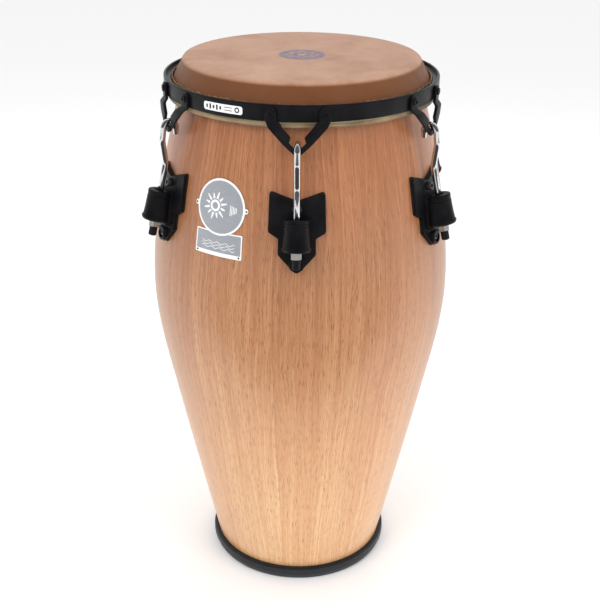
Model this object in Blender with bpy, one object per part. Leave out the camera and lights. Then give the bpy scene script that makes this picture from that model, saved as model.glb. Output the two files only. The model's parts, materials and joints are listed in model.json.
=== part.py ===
"""Conga drum of the large tumba size, standing on its foot, with six-rod tuning.

Metres, +Z up. The origin is on the drum's axis at the underside of the foot ring.
Lug 1 faces -Y and the others follow every 60 degrees, anticlockwise seen from above.
A lug is modelled once at -Y: t runs sideways, r outward from the axis, z up.
"""
import math

import bmesh
import bpy
from mathutils import Matrix, Vector

# ---- Driving dimensions: shell ----
DRUM_HEIGHT = 0.762
FOOT_RADIUS = 0.1225
FOOT_SLOPE = 0.222
THIGH_HEIGHT = 0.280
THIGH_RADIUS = 0.1834
THIGH_SLOPE = 0.205
BELLY_HEIGHT = 0.450
BELLY_RADIUS = 0.2092
SHOULDER_DROP = 0.162
SHOULDER_RADIUS = 0.1920
SHOULDER_SLOPE = -0.175
EDGE_RADIUS = 0.1550
EDGE_SLOPE = -0.215
EDGE_ROUNDING = 0.0040
WALL = 0.0110
DRUM_SEGMENTS = 36
BAND_COUNTS = (2, 3, 4, 3)
# Points left closer together than this by a cut are one point.
WELD = 0.000005

# ---- Foot ring ----
FOOT_RING_HEIGHT = 0.0195
FOOT_RING_RADIUS = 0.1340
FOOT_RING_FLOOR = 0.0030
FOOT_RING_LIP = 0.0105
FOOT_RING_CHAMFER = 0.0025
FOOT_RING_TAPER = 0.0035
FOOT_RING_TAPER_HEIGHT = 0.0085

# ---- Head ----
SKIN = 0.0023
HEAD_OVERHANG = 0.0030
HEAD_ROUNDING = 0.0040
HEAD_SLOPE_DROP = 0.0270
HEAD_SKIRT_DROP = 0.0400

# ---- Hoops and tuning travel ----
TUNING_TRAVEL = 0.0100
HOOP_TOP_DROP = 0.0212
HOOP_HEIGHT = 0.0214
HOOP_WALL = 0.0035
CROWN_DROP = 0.0048
CROWN_HEIGHT = 0.0026
CROWN_REACH = 0.0062
FLESH_HEIGHT = 0.0230
FLESH_WALL = 0.0078
FLESH_ROUNDING = 0.0030
SLIP = 0.0008

# ---- Lugs ----
LUG_COUNT = 6
GAP = 0.0004
GASKET = 0.0015
GASKET_MARGIN = 0.0012
PLATE = 0.0040
PAD = 0.0048
NOSE = 0.0050
LUG_TOP_DROP = 0.1295
PLATE_NOTCH = 0.0115
WING_HALF_WIDTH = 0.0344
WING_HEIGHT = 0.0490
STEP_HEIGHT = 0.0075
BODY_HALF_WIDTH = 0.0217
BODY_HEIGHT = 0.0205
POINT_HEIGHT = 0.0235
POINT_HALF_WIDTH = 0.0045
POINT_RISE = 0.0016
PLATE_CORNER = 0.0038
PAD_HALF_WIDTH = 0.0180
PAD_TOP_DROP = 0.0275
PAD_ROUNDING = 0.0080
PAD_FOOT_HALF_WIDTH = 0.0126
PAD_FOOT_RISE = 0.0020
PAD_TAPER = 0.0060
NOSE_HALF_WIDTH = 0.0090
NOSE_RISE = 0.0040
NOSE_HEIGHT = 0.0180

# ---- Lug bolts ----
BOLT_RADIUS = 0.0030
BOLT_HEAD_RADIUS = 0.0058
BOLT_HEAD_HEIGHT = 0.0042
NOSE_BOLT_HEAD_RADIUS = 0.0045
BOLT_CLEARANCE = 0.0005
WASHER_RADIUS = 0.0080
WASHER_THICKNESS = 0.0015
WASHER_STAND_OFF = 0.0012
INNER_NUT_RADIUS = 0.0056
INNER_NUT_HEIGHT = 0.0050
UPPER_BOLT_DROP = 0.0200
NOSE_FLOOR = 0.0030

# ---- Tuning rod, sleeve and nut ----
ROD_RADIUS = 0.0040
HOOK_OPENING = 0.0045
HOOK_LEG = 0.0095
HOOK_SLACK = 0.0008
HOOK_INSET = 0.0014
EYE_DROP = 0.0332
EYE_CLEARANCE = 0.0005
BEND_DROP = 0.0490
BEND_OUT = 0.0062
KNEE_DROP = 0.0200
KNEE_OUT = 0.0095
SLEEVE_RADIUS = 0.0158
SLEEVE_LID = 0.0045
SLEEVE_GROOVE = 0.0030
SLEEVE_GROOVE_DEPTH = 0.0026
SLEEVE_FLARE_REACH = 0.0027
SLEEVE_FLARE_ROUNDING = 0.0020
SLEEVE_FLARE_HEIGHT = 0.0035
SLEEVE_TAPER_REACH = 0.0008
SLEEVE_TAPER_HEIGHT = 0.0095
SLEEVE_LENGTH = 0.0400
SLEEVE_BORE_CLEARANCE = 0.0010
SLEEVE_SEGMENTS = 12
NUT_ACROSS_FLATS = 0.0130
NUT_HEIGHT = 0.0092
CAP_WALL = 0.0014
CAP_LENGTH = 0.0125
CAP_CHAMFER_HEIGHT = 0.0030
CAP_CHAMFER = 0.0022
CAP_CRUSH = 0.0085
CAP_TO_BOLT = 0.0030
FIT = 0.0003

# ---- Hoop yokes ----
YOKE_PLATE = 0.0040
YOKE_EDGE = 0.0015
YOKE_SCREW_SPREAD = 0.0325
YOKE_SCREW_RADIUS = 0.0022
YOKE_SCREW_HEAD = 0.0048
YOKE_SCREW_HEAD_HEIGHT = 0.0024
YOKE_SEAT_DROP = 0.0289
YOKE_TIP_DROP = 0.0385
YOKE_STAND_OUT = 0.0099
YOKE_SCREW_RISE = 0.0006
YOKE_SCREW_SINK = 0.0005
YOKE_LEAN = 0.0010
YOKE_STEP = 0.0055
EAR_HALF_WIDTH = 0.0070
EAR_TOP_HALF_WIDTH = 0.0038
EAR_RISE = 0.0077
# Inner and outer edge of an arm from the seat to the ear: sideways as a share of the
# screw spread, down from the hoop's lower edge as a share of the seat's drop.
YOKE_ARM = (
    ((0.31, 0.78), (0.45, 0.93)),
    ((0.24, 0.55), (0.62, 0.72)),
    ((0.43, 0.31), (0.83, 0.46)),
    ((0.66, 0.02), (1.08, 0.15)),
)

# ---- Badge ----
BADGE_ANGLE = -30.5
BADGE_RADIUS = 0.0358
BADGE_DROP = 0.1580
BADGE_THICKNESS = 0.0010
BADGE_TAB = 0.0042
BADGE_TAB_HALF_HEIGHT = 0.0035
BADGE_FOLD = 0.0200
BADGE_PLATE_HALF_WIDTH = 0.0340
BADGE_PLATE_HEIGHT = 0.0315
BADGE_PLATE_OVERLAP = 0.0045

# ---- Worked out from the driving dimensions ----
HEAD_RADIUS = EDGE_RADIUS + HEAD_OVERHANG
FLESH_TO_SHELL = SKIN + SLIP + FIT
HOOK_RADIUS = ROD_RADIUS + HOOK_OPENING
HOOK_DROP = HOOK_OPENING - HOOK_SLACK
SLEEVE_FLARE = SLEEVE_RADIUS + SLEEVE_FLARE_REACH
SLEEVE_BORE = ROD_RADIUS + SLEEVE_BORE_CLEARANCE
EYE_STANDOFF = SLEEVE_FLARE + EYE_CLEARANCE
EYE_RADIUS = SLEEVE_RADIUS - FIT
CAP_RADIUS = ROD_RADIUS + FIT + CAP_WALL
STATION_ANGLE = 360.0 / LUG_COUNT
SHELL_BOTTOM = FOOT_RING_FLOOR + FIT
SHELL_TOP = DRUM_HEIGHT - SKIN - FIT
HOOP_TOP = DRUM_HEIGHT - HOOP_TOP_DROP
HOOP_BOTTOM = HOOP_TOP - HOOP_HEIGHT
CROWN_TOP = HOOP_TOP - CROWN_DROP
CROWN_BOTTOM = CROWN_TOP - CROWN_HEIGHT
FLESH_TOP = CROWN_BOTTOM - GAP
FLESH_BOTTOM = FLESH_TOP - FLESH_HEIGHT
LUG_TOP = DRUM_HEIGHT - LUG_TOP_DROP
LUG_BOTTOM = LUG_TOP - WING_HEIGHT - STEP_HEIGHT - BODY_HEIGHT - POINT_HEIGHT
EYE_HEIGHT = LUG_TOP - EYE_DROP
UPPER_BOLT_HEIGHT = LUG_TOP - UPPER_BOLT_DROP
LOWER_BOLT_HEIGHT = LUG_BOTTOM + NOSE_RISE + NOSE_HALF_WIDTH


def clear_scene():
    """Remove whatever the open file holds."""
    for item in list(bpy.data.objects):
        bpy.data.objects.remove(item, do_unlink=True)


def hermite(low, high, height):
    """Radius at a height between two (height, radius, slope) stations."""
    span = high[0] - low[0]
    share = (height - low[0]) / span
    square = share * share
    cube = square * share
    return ((2 * cube - 3 * square + 1) * low[1] + (cube - 2 * square + share) * span * low[2]
            + (3 * square - 2 * cube) * high[1] + (cube - square) * span * high[2])


# Height, outer radius and slope of the shell at its five stations.
SHELL_STATIONS = (
    (0.0, FOOT_RADIUS, FOOT_SLOPE),
    (THIGH_HEIGHT, THIGH_RADIUS, THIGH_SLOPE),
    (BELLY_HEIGHT, BELLY_RADIUS, 0.0),
    (DRUM_HEIGHT - SHOULDER_DROP, SHOULDER_RADIUS, SHOULDER_SLOPE),
    (SHELL_TOP, EDGE_RADIUS, EDGE_SLOPE),
)


def shell_radius(height):
    """Outer radius of the wooden shell at a height."""
    for low, high in zip(SHELL_STATIONS, SHELL_STATIONS[1:]):
        if height <= high[0]:
            return hermite(low, high, height)
    return EDGE_RADIUS


def shell_levels():
    """Heights at which the shell's bands meet, up to where its top edge rounds over."""
    marks = [SHELL_BOTTOM] + [station[0] for station in SHELL_STATIONS[1:-1]]
    marks.append(SHELL_TOP - EDGE_ROUNDING)
    heights = [SHELL_BOTTOM]
    for low, high, count in zip(marks, marks[1:], BAND_COUNTS):
        heights += [low + (high - low) * (index + 1) / count for index in range(count)]
    return heights


def wood_radius(height):
    """Outer radius of the banded shell at a height, straight between its bands."""
    levels = shell_levels()
    for low, high in zip(levels, levels[1:]):
        if height <= high:
            share = (height - low) / (high - low)
            return shell_radius(low) * (1 - share) + shell_radius(high) * share
    return shell_radius(levels[-1])


# Radii of the rim follow the shell where the rim is lowest, fully tightened.
FLESH_INNER = shell_radius(FLESH_BOTTOM - TUNING_TRAVEL) + FLESH_TO_SHELL
FLESH_OUTER = FLESH_INNER + FLESH_WALL
HOOP_INNER = FLESH_OUTER + SLIP
HOOP_OUTER = HOOP_INNER + HOOP_WALL
SEAT_HEIGHT = HOOP_BOTTOM - YOKE_SEAT_DROP
TIP_HEIGHT = HOOP_BOTTOM - YOKE_TIP_DROP
YOKE_TIP_RADIUS = HOOP_OUTER + YOKE_STAND_OUT
YOKE_SCREW_HEIGHT = HOOP_BOTTOM + HOOP_HEIGHT / 2 + YOKE_SCREW_RISE

# The rod's straight shank runs from its bend to the middle of the lug's eye. It leans out
# far enough for the cap on its end to clear the lower bolt.
BEND_POINT = Vector((YOKE_TIP_RADIUS + BEND_OUT, SEAT_HEIGHT - BEND_DROP))
LOWER_BOLT_REACH = 2 * GAP + GASKET + NOSE_FLOOR + FIT + BOLT_HEAD_HEIGHT
CAP_PATH = shell_radius(LOWER_BOLT_HEIGHT) + LOWER_BOLT_REACH + CAP_TO_BOLT + CAP_RADIUS
EYE_SHARE = (BEND_POINT.y - EYE_HEIGHT) / (BEND_POINT.y - LOWER_BOLT_HEIGHT)
LEAST_EYE_PLACE = BEND_POINT.x + (CAP_PATH - BEND_POINT.x) * EYE_SHARE
EYE_PLACE = max(shell_radius(EYE_HEIGHT) + EYE_STANDOFF, LEAST_EYE_PLACE)
EYE_POINT = Vector((EYE_PLACE, EYE_HEIGHT))
ROD_TILT = math.atan2(EYE_POINT.x - BEND_POINT.x, BEND_POINT.y - EYE_POINT.y)
SHANK_ABOVE_EYE = (EYE_POINT - BEND_POINT).length
SLEEVE_TOP = SLEEVE_LID + SLEEVE_GROOVE / 2
NUT_TOP = SLEEVE_TOP - SLEEVE_LENGTH - FIT
CAP_TOP = NUT_TOP - NUT_HEIGHT - FIT


def make_material(name, colour, roughness, metallic=0.0):
    """A plain Principled material."""
    material = bpy.data.materials.new(name)
    material.use_nodes = True
    shader = material.node_tree.nodes["Principled BSDF"]
    shader.inputs["Base Color"].default_value = (*colour, 1.0)
    shader.inputs["Roughness"].default_value = roughness
    shader.inputs["Metallic"].default_value = metallic
    return material


def finish_mesh(bm, name):
    """Turn a closed bmesh into a mesh with outward faces and smooth round sides."""
    bmesh.ops.recalc_face_normals(bm, faces=bm.faces)
    mesh = bpy.data.meshes.new(name)
    bm.to_mesh(mesh)
    bm.free()
    mesh.shade_smooth()
    mesh.set_sharp_from_angle(angle=math.radians(35))
    return mesh


def add_object(name, mesh, material, parent=None, location=(0, 0, 0)):
    """One named piece with one material."""
    piece = bpy.data.objects.new(name, mesh)
    bpy.context.scene.collection.objects.link(piece)
    if not mesh.materials:
        mesh.materials.append(material)
    piece.parent = parent
    piece.location = location
    return piece


def add_empty(name, parent, location, rotation):
    """A guide on a lug's station or on a rod's axis."""
    guide = bpy.data.objects.new(name, None)
    bpy.context.scene.collection.objects.link(guide)
    guide.empty_display_size = 0.02
    guide.parent = parent
    guide.location = location
    guide.rotation_euler = rotation
    return guide


def joined_rings(name, rings, closed):
    """Skin a row of equal vertex rings; an open row gets flat end faces."""
    bm = bmesh.new()
    loops = [[bm.verts.new(point) for point in ring] for ring in rings]
    pairs = list(zip(loops, loops[1:]))
    if closed:
        pairs.append((loops[-1], loops[0]))
    else:
        bm.faces.new(loops[0])
        bm.faces.new(loops[-1])
    for first, second in pairs:
        for index in range(len(first)):
            after = (index + 1) % len(first)
            bm.faces.new((first[index], first[after], second[after], second[index]))
    return finish_mesh(bm, name)


def ring_points(radius, height, segments):
    """A level circle that starts at -Y."""
    points = []
    for index in range(segments):
        angle = -math.pi / 2 + 2 * math.pi * index / segments
        points.append(Vector((radius * math.cos(angle), radius * math.sin(angle), height)))
    return points


def turned_mesh(name, profile, segments, closed=True):
    """Turn a (radius, height) profile round Z."""
    return joined_rings(name, [ring_points(r, z, segments) for r, z in profile], closed)


def arc_points(centre, radius, start, end, steps):
    """Points on an arc, in degrees anticlockwise from the first axis."""
    points = []
    for index in range(steps + 1):
        angle = math.radians(start + (end - start) * index / steps)
        points.append((centre[0] + radius * math.cos(angle), centre[1] + radius * math.sin(angle)))
    return points


def lug_point(t, height, offset):
    """A place on the shell at lug 1: sideways distance, height, distance off the wood."""
    radius = wood_radius(height) + offset
    angle = t / shell_radius(EYE_HEIGHT)
    return Vector((radius * math.sin(angle), -radius * math.cos(angle), height))


def shell_slab(name, outline, inner, outer, side_cuts):
    """A plate bent to the shell between two distances off the wood.

    It folds at the given sideways places and at the shell's own bands.
    """
    lowest = min(z for _, z in outline)
    highest = max(z for _, z in outline)
    bm = bmesh.new()
    bm.faces.new([bm.verts.new((t, 0.0, z)) for t, z in outline])
    for place in side_cuts:
        whole = bm.verts[:] + bm.edges[:] + bm.faces[:]
        bmesh.ops.bisect_plane(bm, geom=whole, plane_co=(place, 0, 0), plane_no=(1, 0, 0))
    for place in shell_levels():
        if not lowest + WELD < place < highest - WELD:
            continue
        whole = bm.verts[:] + bm.edges[:] + bm.faces[:]
        bmesh.ops.bisect_plane(bm, geom=whole, plane_co=(0, 0, place), plane_no=(0, 0, 1))
    bmesh.ops.triangulate(bm, faces=bm.faces)
    solid = bmesh.ops.extrude_face_region(bm, geom=bm.faces[:])
    lifted = {item for item in solid["geom"] if isinstance(item, bmesh.types.BMVert)}
    for vertex in bm.verts:
        offset = outer if vertex in lifted else inner
        vertex.co = lug_point(vertex.co.x, vertex.co.z, offset)
    return finish_mesh(bm, name)


def combined(name, base, tools):
    """Apply (operation, mesh, matrix) steps to a mesh with exact Booleans."""
    body = add_object(name, base, None)
    helpers = []
    for operation, mesh, matrix in tools:
        helper = add_object(name + "_tool", mesh, None)
        helper.matrix_world = matrix
        helpers.append(helper)
        step = body.modifiers.new(operation, "BOOLEAN")
        step.operation = operation
        step.solver = "EXACT"
        step.use_hole_tolerant = True
        step.object = helper
    bpy.context.view_layer.update()
    evaluated = body.evaluated_get(bpy.context.evaluated_depsgraph_get())
    bm = bmesh.new()
    bm.from_mesh(evaluated.to_mesh())
    evaluated.to_mesh_clear()
    for helper in helpers + [body]:
        bpy.data.objects.remove(helper, do_unlink=True)
    bmesh.ops.triangulate(bm, faces=bm.faces)
    bmesh.ops.remove_doubles(bm, verts=bm.verts, dist=WELD)
    bmesh.ops.dissolve_degenerate(bm, edges=bm.edges, dist=WELD)
    return finish_mesh(bm, name)


# ---- Bolt axes, square to the shell ----

def bolt_matrix(height):
    """Frame on the shell at lug 1 with +Z pointing straight out of the wood."""
    step = 0.001
    slope = (shell_radius(height + step) - shell_radius(height - step)) / (2 * step)
    rise = -math.atan(slope)
    place = Matrix.Translation(lug_point(0.0, height, 0.0))
    turn = Matrix.Rotation(math.pi / 2 - rise, 4, "X")
    return place @ turn


# ---- Wooden shell, foot ring, head and hoops ----

def shell_mesh():
    """Hollow shell, open at both ends, with a bolt hole behind every lug bolt."""
    heights = shell_levels()
    profile = [(shell_radius(height), height) for height in heights]
    profile.append((EDGE_RADIUS - EDGE_ROUNDING * 0.6, SHELL_TOP))
    profile.append((EDGE_RADIUS - WALL + EDGE_ROUNDING * 0.7, SHELL_TOP))
    profile += [(shell_radius(height) - WALL, height) for height in reversed(heights)]
    wood = turned_mesh("shell", profile, DRUM_SEGMENTS)
    drill = turned_mesh(
        "shell_drill",
        [(BOLT_RADIUS + BOLT_CLEARANCE, -2 * WALL), (BOLT_RADIUS + BOLT_CLEARANCE, WALL)],
        6, closed=False)
    holes = []
    for number in range(LUG_COUNT):
        turn = Matrix.Rotation(math.radians(number * STATION_ANGLE), 4, "Z")
        for height in (UPPER_BOLT_HEIGHT, LOWER_BOLT_HEIGHT):
            holes.append(("DIFFERENCE", drill, turn @ bolt_matrix(height)))
    return combined("shell", wood, holes)


def foot_ring_mesh():
    """Ring that the shell stands in, with a floor under the wood."""
    outer = FOOT_RING_RADIUS
    top = FOOT_RING_HEIGHT
    profile = [
        (FOOT_RADIUS - FOOT_RING_LIP, 0.0),
        (outer - FOOT_RING_TAPER, 0.0),
        (outer, FOOT_RING_TAPER_HEIGHT),
        (outer, top - FOOT_RING_CHAMFER),
        (outer - FOOT_RING_CHAMFER, top),
        (shell_radius(top) + GAP, top),
        (shell_radius(FOOT_RING_FLOOR) + GAP, FOOT_RING_FLOOR),
        (FOOT_RADIUS - FOOT_RING_LIP, FOOT_RING_FLOOR),
    ]
    return turned_mesh("base_ring", profile, DRUM_SEGMENTS)


def head_mesh():
    """Skin stretched over the edge, with the skirt that runs down inside the hoops."""
    top = DRUM_HEIGHT
    skirt = FLESH_INNER - SLIP
    slope_end = top - HEAD_SLOPE_DROP
    bottom = top - HEAD_SKIRT_DROP
    profile = [
        (HEAD_RADIUS - HEAD_ROUNDING / 2, top),
        (HEAD_RADIUS + HEAD_ROUNDING / 4, top - HEAD_ROUNDING * 0.6),
        (skirt, slope_end),
        (skirt, bottom),
        (skirt - SKIN, bottom),
        (skirt - SKIN, slope_end),
        (HEAD_RADIUS - HEAD_ROUNDING / 2 - SKIN, top - SKIN),
    ]
    return turned_mesh("drum_head", profile, DRUM_SEGMENTS, closed=False)


def flesh_hoop_mesh():
    """Ring wrapped in the skin's edge, which the tension hoop's crown presses down."""
    profile = [
        (FLESH_INNER, FLESH_BOTTOM),
        (FLESH_OUTER - FLESH_ROUNDING, FLESH_BOTTOM),
        (FLESH_OUTER, FLESH_BOTTOM + FLESH_ROUNDING),
        (FLESH_OUTER, FLESH_TOP),
        (FLESH_INNER, FLESH_TOP),
    ]
    return turned_mesh("flesh_hoop", profile, DRUM_SEGMENTS)


def tension_hoop_mesh():
    """Flat steel band with an inner crown, drilled for the yoke screws."""
    profile = [
        (HOOP_INNER, HOOP_BOTTOM),
        (HOOP_OUTER, HOOP_BOTTOM),
        (HOOP_OUTER, HOOP_TOP),
        (HOOP_INNER, HOOP_TOP),
        (HOOP_INNER, CROWN_TOP),
        (HOOP_INNER - CROWN_REACH, CROWN_TOP),
        (HOOP_INNER - CROWN_REACH, CROWN_BOTTOM),
        (HOOP_INNER, CROWN_BOTTOM),
    ]
    band = turned_mesh("tension_hoop", profile, DRUM_SEGMENTS)
    radius = YOKE_SCREW_RADIUS + FIT
    drill = turned_mesh("hoop_drill", [(radius, -HOOP_WALL), (radius, 2 * HOOP_WALL)], 6, closed=False)
    holes = []
    for number in range(LUG_COUNT):
        for side in (-1, 1):
            turn = Matrix.Rotation(math.radians(number * STATION_ANGLE), 4, "Z")
            holes.append(("DIFFERENCE", drill, turn @ yoke_screw_matrix(side, HOOP_INNER)))
    return combined("tension_hoop", band, holes)


# ---- Yokes ----

def yoke_screw_matrix(side, radius):
    """Frame of a yoke screw, +Z pointing out of the hoop."""
    angle = side * YOKE_SCREW_SPREAD / HOOP_OUTER
    spin = Matrix.Rotation(angle, 4, "Z")
    place = Matrix.Translation((0, -radius, YOKE_SCREW_HEIGHT))
    return spin @ place @ Matrix.Rotation(math.pi / 2, 4, "X")


def yoke_back_radius(height):
    """Radius of the yoke plate's back: on the hoop, then stepped out below it to the tip."""
    tip = YOKE_TIP_RADIUS - YOKE_PLATE / 2
    levels = (
        (SEAT_HEIGHT, tip),
        (HOOP_BOTTOM - YOKE_SEAT_DROP / 2, tip - YOKE_LEAN),
        (HOOP_BOTTOM - YOKE_SEAT_DROP / 6, HOOP_OUTER + YOKE_STEP),
        (HOOP_BOTTOM - GAP, HOOP_OUTER + GAP),
    )
    for low, high in zip(levels, levels[1:]):
        if height <= high[0]:
            share = max((height - low[0]) / (high[0] - low[0]), 0.0)
            return low[1] + (high[1] - low[1]) * share
    return levels[-1][1]


def yoke_point(t, height, depth):
    """A place on the bent yoke plate, depth measured from its back."""
    radius = yoke_back_radius(height) + depth
    angle = t / HOOP_OUTER
    return Vector((radius * math.sin(angle), -radius * math.cos(angle), height))


def yoke_half_path():
    """Pairs of (inner edge, outer edge) from the seat up one arm to the top of the ear."""
    left = YOKE_SCREW_SPREAD - EAR_HALF_WIDTH
    right = YOKE_SCREW_SPREAD + EAR_HALF_WIDTH
    path = [((ROD_RADIUS, SEAT_HEIGHT), (ROD_RADIUS, TIP_HEIGHT + YOKE_EDGE))]
    for pair in YOKE_ARM:
        path.append([
            (out * YOKE_SCREW_SPREAD, HOOP_BOTTOM - down * YOKE_SEAT_DROP) for out, down in pair
        ])
    path.append(((left, HOOP_BOTTOM + YOKE_EDGE), (right, HOOP_BOTTOM + YOKE_EDGE)))
    path.append(((left, YOKE_SCREW_HEIGHT), (right, YOKE_SCREW_HEIGHT)))
    across = EAR_TOP_HALF_WIDTH
    top = YOKE_SCREW_HEIGHT + EAR_RISE
    path.append(((YOKE_SCREW_SPREAD - across, top), (YOKE_SCREW_SPREAD + across, top)))
    return path


def yoke_section(inner, outer, side):
    """Five corners of the plate between its two edges; the inner edge is rounded off."""
    edge = Vector(inner)
    ridge = edge + (Vector(outer) - edge).normalized() * YOKE_EDGE
    corners = (
        (outer, 0.0), (ridge, 0.0), (inner, YOKE_PLATE / 2), (ridge, YOKE_PLATE),
        (outer, YOKE_PLATE),
    )
    return [yoke_point(side * point[0], point[1], depth) for point, depth in corners]


def yoke_mesh():
    """V-shaped yoke with two ears, its two screws made in one with it."""
    half = yoke_half_path()
    middle = ((0.0, SEAT_HEIGHT), (0.0, TIP_HEIGHT))
    rings = [yoke_section(inner, outer, -1) for inner, outer in reversed(half)]
    rings.append(yoke_section(*middle, 1))
    rings += [yoke_section(inner, outer, 1) for inner, outer in half]
    plate = joined_rings("hoop_yoke", rings, closed=False)
    head_base = GAP + YOKE_PLATE - YOKE_SCREW_SINK
    screw = turned_mesh("yoke_screw", [
        (YOKE_SCREW_RADIUS, FIT - HOOP_WALL),
        (YOKE_SCREW_RADIUS, head_base),
        (YOKE_SCREW_HEAD, head_base),
        (YOKE_SCREW_HEAD, head_base + YOKE_SCREW_HEAD_HEIGHT),
    ], 6, closed=False)
    screws = [("UNION", screw, yoke_screw_matrix(side, HOOP_OUTER)) for side in (-1, 1)]
    return combined("hoop_yoke", plate, screws)


# ---- Lug plate and gasket ----

def shield_outline(margin):
    """Outline of the lug plate: two wings with a notch between them over a pointed body."""
    wing = WING_HALF_WIDTH + margin
    body = BODY_HALF_WIDTH + margin
    top = LUG_TOP + margin
    wing_bottom = LUG_TOP - WING_HEIGHT - margin / 2
    step_bottom = wing_bottom - STEP_HEIGHT
    body_bottom = step_bottom - BODY_HEIGHT
    bottom = LUG_BOTTOM - margin
    right = [
        (POINT_HALF_WIDTH, bottom + POINT_RISE), (body, body_bottom), (body, step_bottom),
        (wing, wing_bottom), (wing, top - PLATE_CORNER),
        (wing - PLATE_CORNER * 0.3, top - PLATE_CORNER * 0.3), (wing - PLATE_CORNER, top),
    ]
    left = [(-t, z) for t, z in reversed(right)]
    return [(0.0, bottom)] + right + [(0.0, top - PLATE_NOTCH)] + left


def shield_folds():
    """Sideways places where the plate and its gasket fold round the shell."""
    near = 0.25 * WING_HALF_WIDTH
    far = 0.70 * WING_HALF_WIDTH
    return -far, -near, near, far


def gasket_mesh():
    """Rubber pad between plate and wood, drilled for the bolts."""
    outline = shield_outline(GASKET_MARGIN)
    pad = shell_slab("lug_gasket", outline, GAP, GAP + GASKET, shield_folds())
    radius = BOLT_RADIUS + BOLT_CLEARANCE
    drill = turned_mesh(
        "gasket_drill", [(radius, -2 * GASKET), (radius, 4 * GASKET)], 6, closed=False)
    holes = [
        ("DIFFERENCE", drill, bolt_matrix(UPPER_BOLT_HEIGHT)),
        ("DIFFERENCE", drill, bolt_matrix(LOWER_BOLT_HEIGHT)),
    ]
    return combined("lug_gasket", pad, holes)


def pad_outline():
    """Raised pad behind the sleeve, round at the top."""
    top = LUG_TOP - PAD_TOP_DROP
    radius = PAD_ROUNDING
    half = PAD_HALF_WIDTH
    low = LUG_BOTTOM + POINT_HEIGHT + PAD_FOOT_RISE
    outline = [(-PAD_FOOT_HALF_WIDTH, low), (PAD_FOOT_HALF_WIDTH, low), (half, low + PAD_TAPER)]
    outline += arc_points((half - radius, top - radius), radius, 0, 90, 2)
    outline += arc_points((radius - half, top - radius), radius, 90, 180, 2)
    return outline + [(-half, low + PAD_TAPER)]


def nose_outline():
    """Boss round the lower bolt."""
    bottom = LUG_BOTTOM + NOSE_RISE
    half = NOSE_HALF_WIDTH
    curve = arc_points((0.0, bottom + half), half, 180, 360, 4)
    return curve + [(half, bottom + NOSE_HEIGHT), (-half, bottom + NOSE_HEIGHT)]


def sleeve_profile(margin):
    """Outside of the sleeve along the rod, from its foot to its lid; the eye is at 0."""
    top = SLEEVE_TOP + margin
    foot = SLEEVE_TOP - SLEEVE_LENGTH - margin
    body = SLEEVE_RADIUS + margin
    flare = SLEEVE_FLARE + margin
    core = SLEEVE_RADIUS - SLEEVE_GROOVE_DEPTH + margin
    half_groove = SLEEVE_GROOVE / 2 - margin
    return [
        (flare - SLEEVE_FLARE_ROUNDING, foot), (flare, foot + SLEEVE_FLARE_HEIGHT),
        (body + SLEEVE_TAPER_REACH, foot + SLEEVE_TAPER_HEIGHT),
        (body, -half_groove), (core, -half_groove), (core, half_groove), (body, half_groove),
        (body, top),
    ]


def rod_axis_matrix():
    """Frame at the eye of lug 1 with +Z up the rod's shank."""
    place = Matrix.Translation((0, -EYE_POINT.x, EYE_POINT.y))
    return place @ Matrix.Rotation(-ROD_TILT, 4, "X")


def plate_mesh():
    """Bent plate with its pad, its nose boss and the eye that grips the sleeve's groove."""
    back = 2 * GAP + GASKET
    face = back + PLATE
    beyond = face + PAD + NOSE
    base = shell_slab("lug_plate", shield_outline(0.0), back, face, shield_folds())
    pad = shell_slab("lug_pad", pad_outline(), back + PLATE / 2, face + PAD, (0.0,))
    nose = shell_slab("lug_nose", nose_outline(), back + PLATE / 2, face + NOSE, ())
    half = SLEEVE_GROOVE / 2 + GAP
    eye = turned_mesh(
        "lug_eye", [(EYE_RADIUS, -half), (EYE_RADIUS, half)], SLEEVE_SEGMENTS, closed=False)
    seat = turned_mesh("sleeve_seat", sleeve_profile(FIT), SLEEVE_SEGMENTS, closed=False)
    radius = BOLT_RADIUS + BOLT_CLEARANCE
    drill = turned_mesh("plate_drill", [(radius, -PLATE), (radius, beyond)], 6, closed=False)
    recess_radius = NOSE_BOLT_HEAD_RADIUS + 2 * BOLT_CLEARANCE
    recess_floor = back + NOSE_FLOOR
    recess = turned_mesh(
        "nose_recess", [(recess_radius, recess_floor), (recess_radius, beyond)], 8, closed=False)
    still = Matrix.Identity(4)
    axis = rod_axis_matrix()
    return combined("lug_plate", base, [
        ("UNION", pad, still),
        ("UNION", nose, still),
        ("UNION", eye, axis),
        ("DIFFERENCE", seat, axis),
        ("DIFFERENCE", drill, bolt_matrix(UPPER_BOLT_HEIGHT)),
        ("DIFFERENCE", drill, bolt_matrix(LOWER_BOLT_HEIGHT)),
        ("DIFFERENCE", recess, bolt_matrix(LOWER_BOLT_HEIGHT)),
    ])


# ---- Small turned pieces ----

def sleeve_mesh():
    """Rubber float sleeve: lid, groove for the lug's eye, body and flared foot."""
    outside = sleeve_profile(0.0)
    bore = [(SLEEVE_BORE, outside[-1][1]), (SLEEVE_BORE, outside[0][1])]
    return turned_mesh("lug_sleeve", outside + bore, SLEEVE_SEGMENTS)


def bolt_mesh(name, seat, head_radius):
    """Lug bolt with the washer and nut that hold it inside the shell, as one solid."""
    inside = -WALL - WASHER_STAND_OFF
    washer_end = inside - WASHER_THICKNESS
    nut_end = washer_end - INNER_NUT_HEIGHT
    profile = [
        (INNER_NUT_RADIUS, nut_end), (INNER_NUT_RADIUS, washer_end),
        (WASHER_RADIUS, washer_end), (WASHER_RADIUS, inside), (BOLT_RADIUS, inside),
        (BOLT_RADIUS, seat), (head_radius, seat), (head_radius, seat + BOLT_HEAD_HEIGHT),
    ]
    return turned_mesh(name, profile, 6, closed=False)


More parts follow.
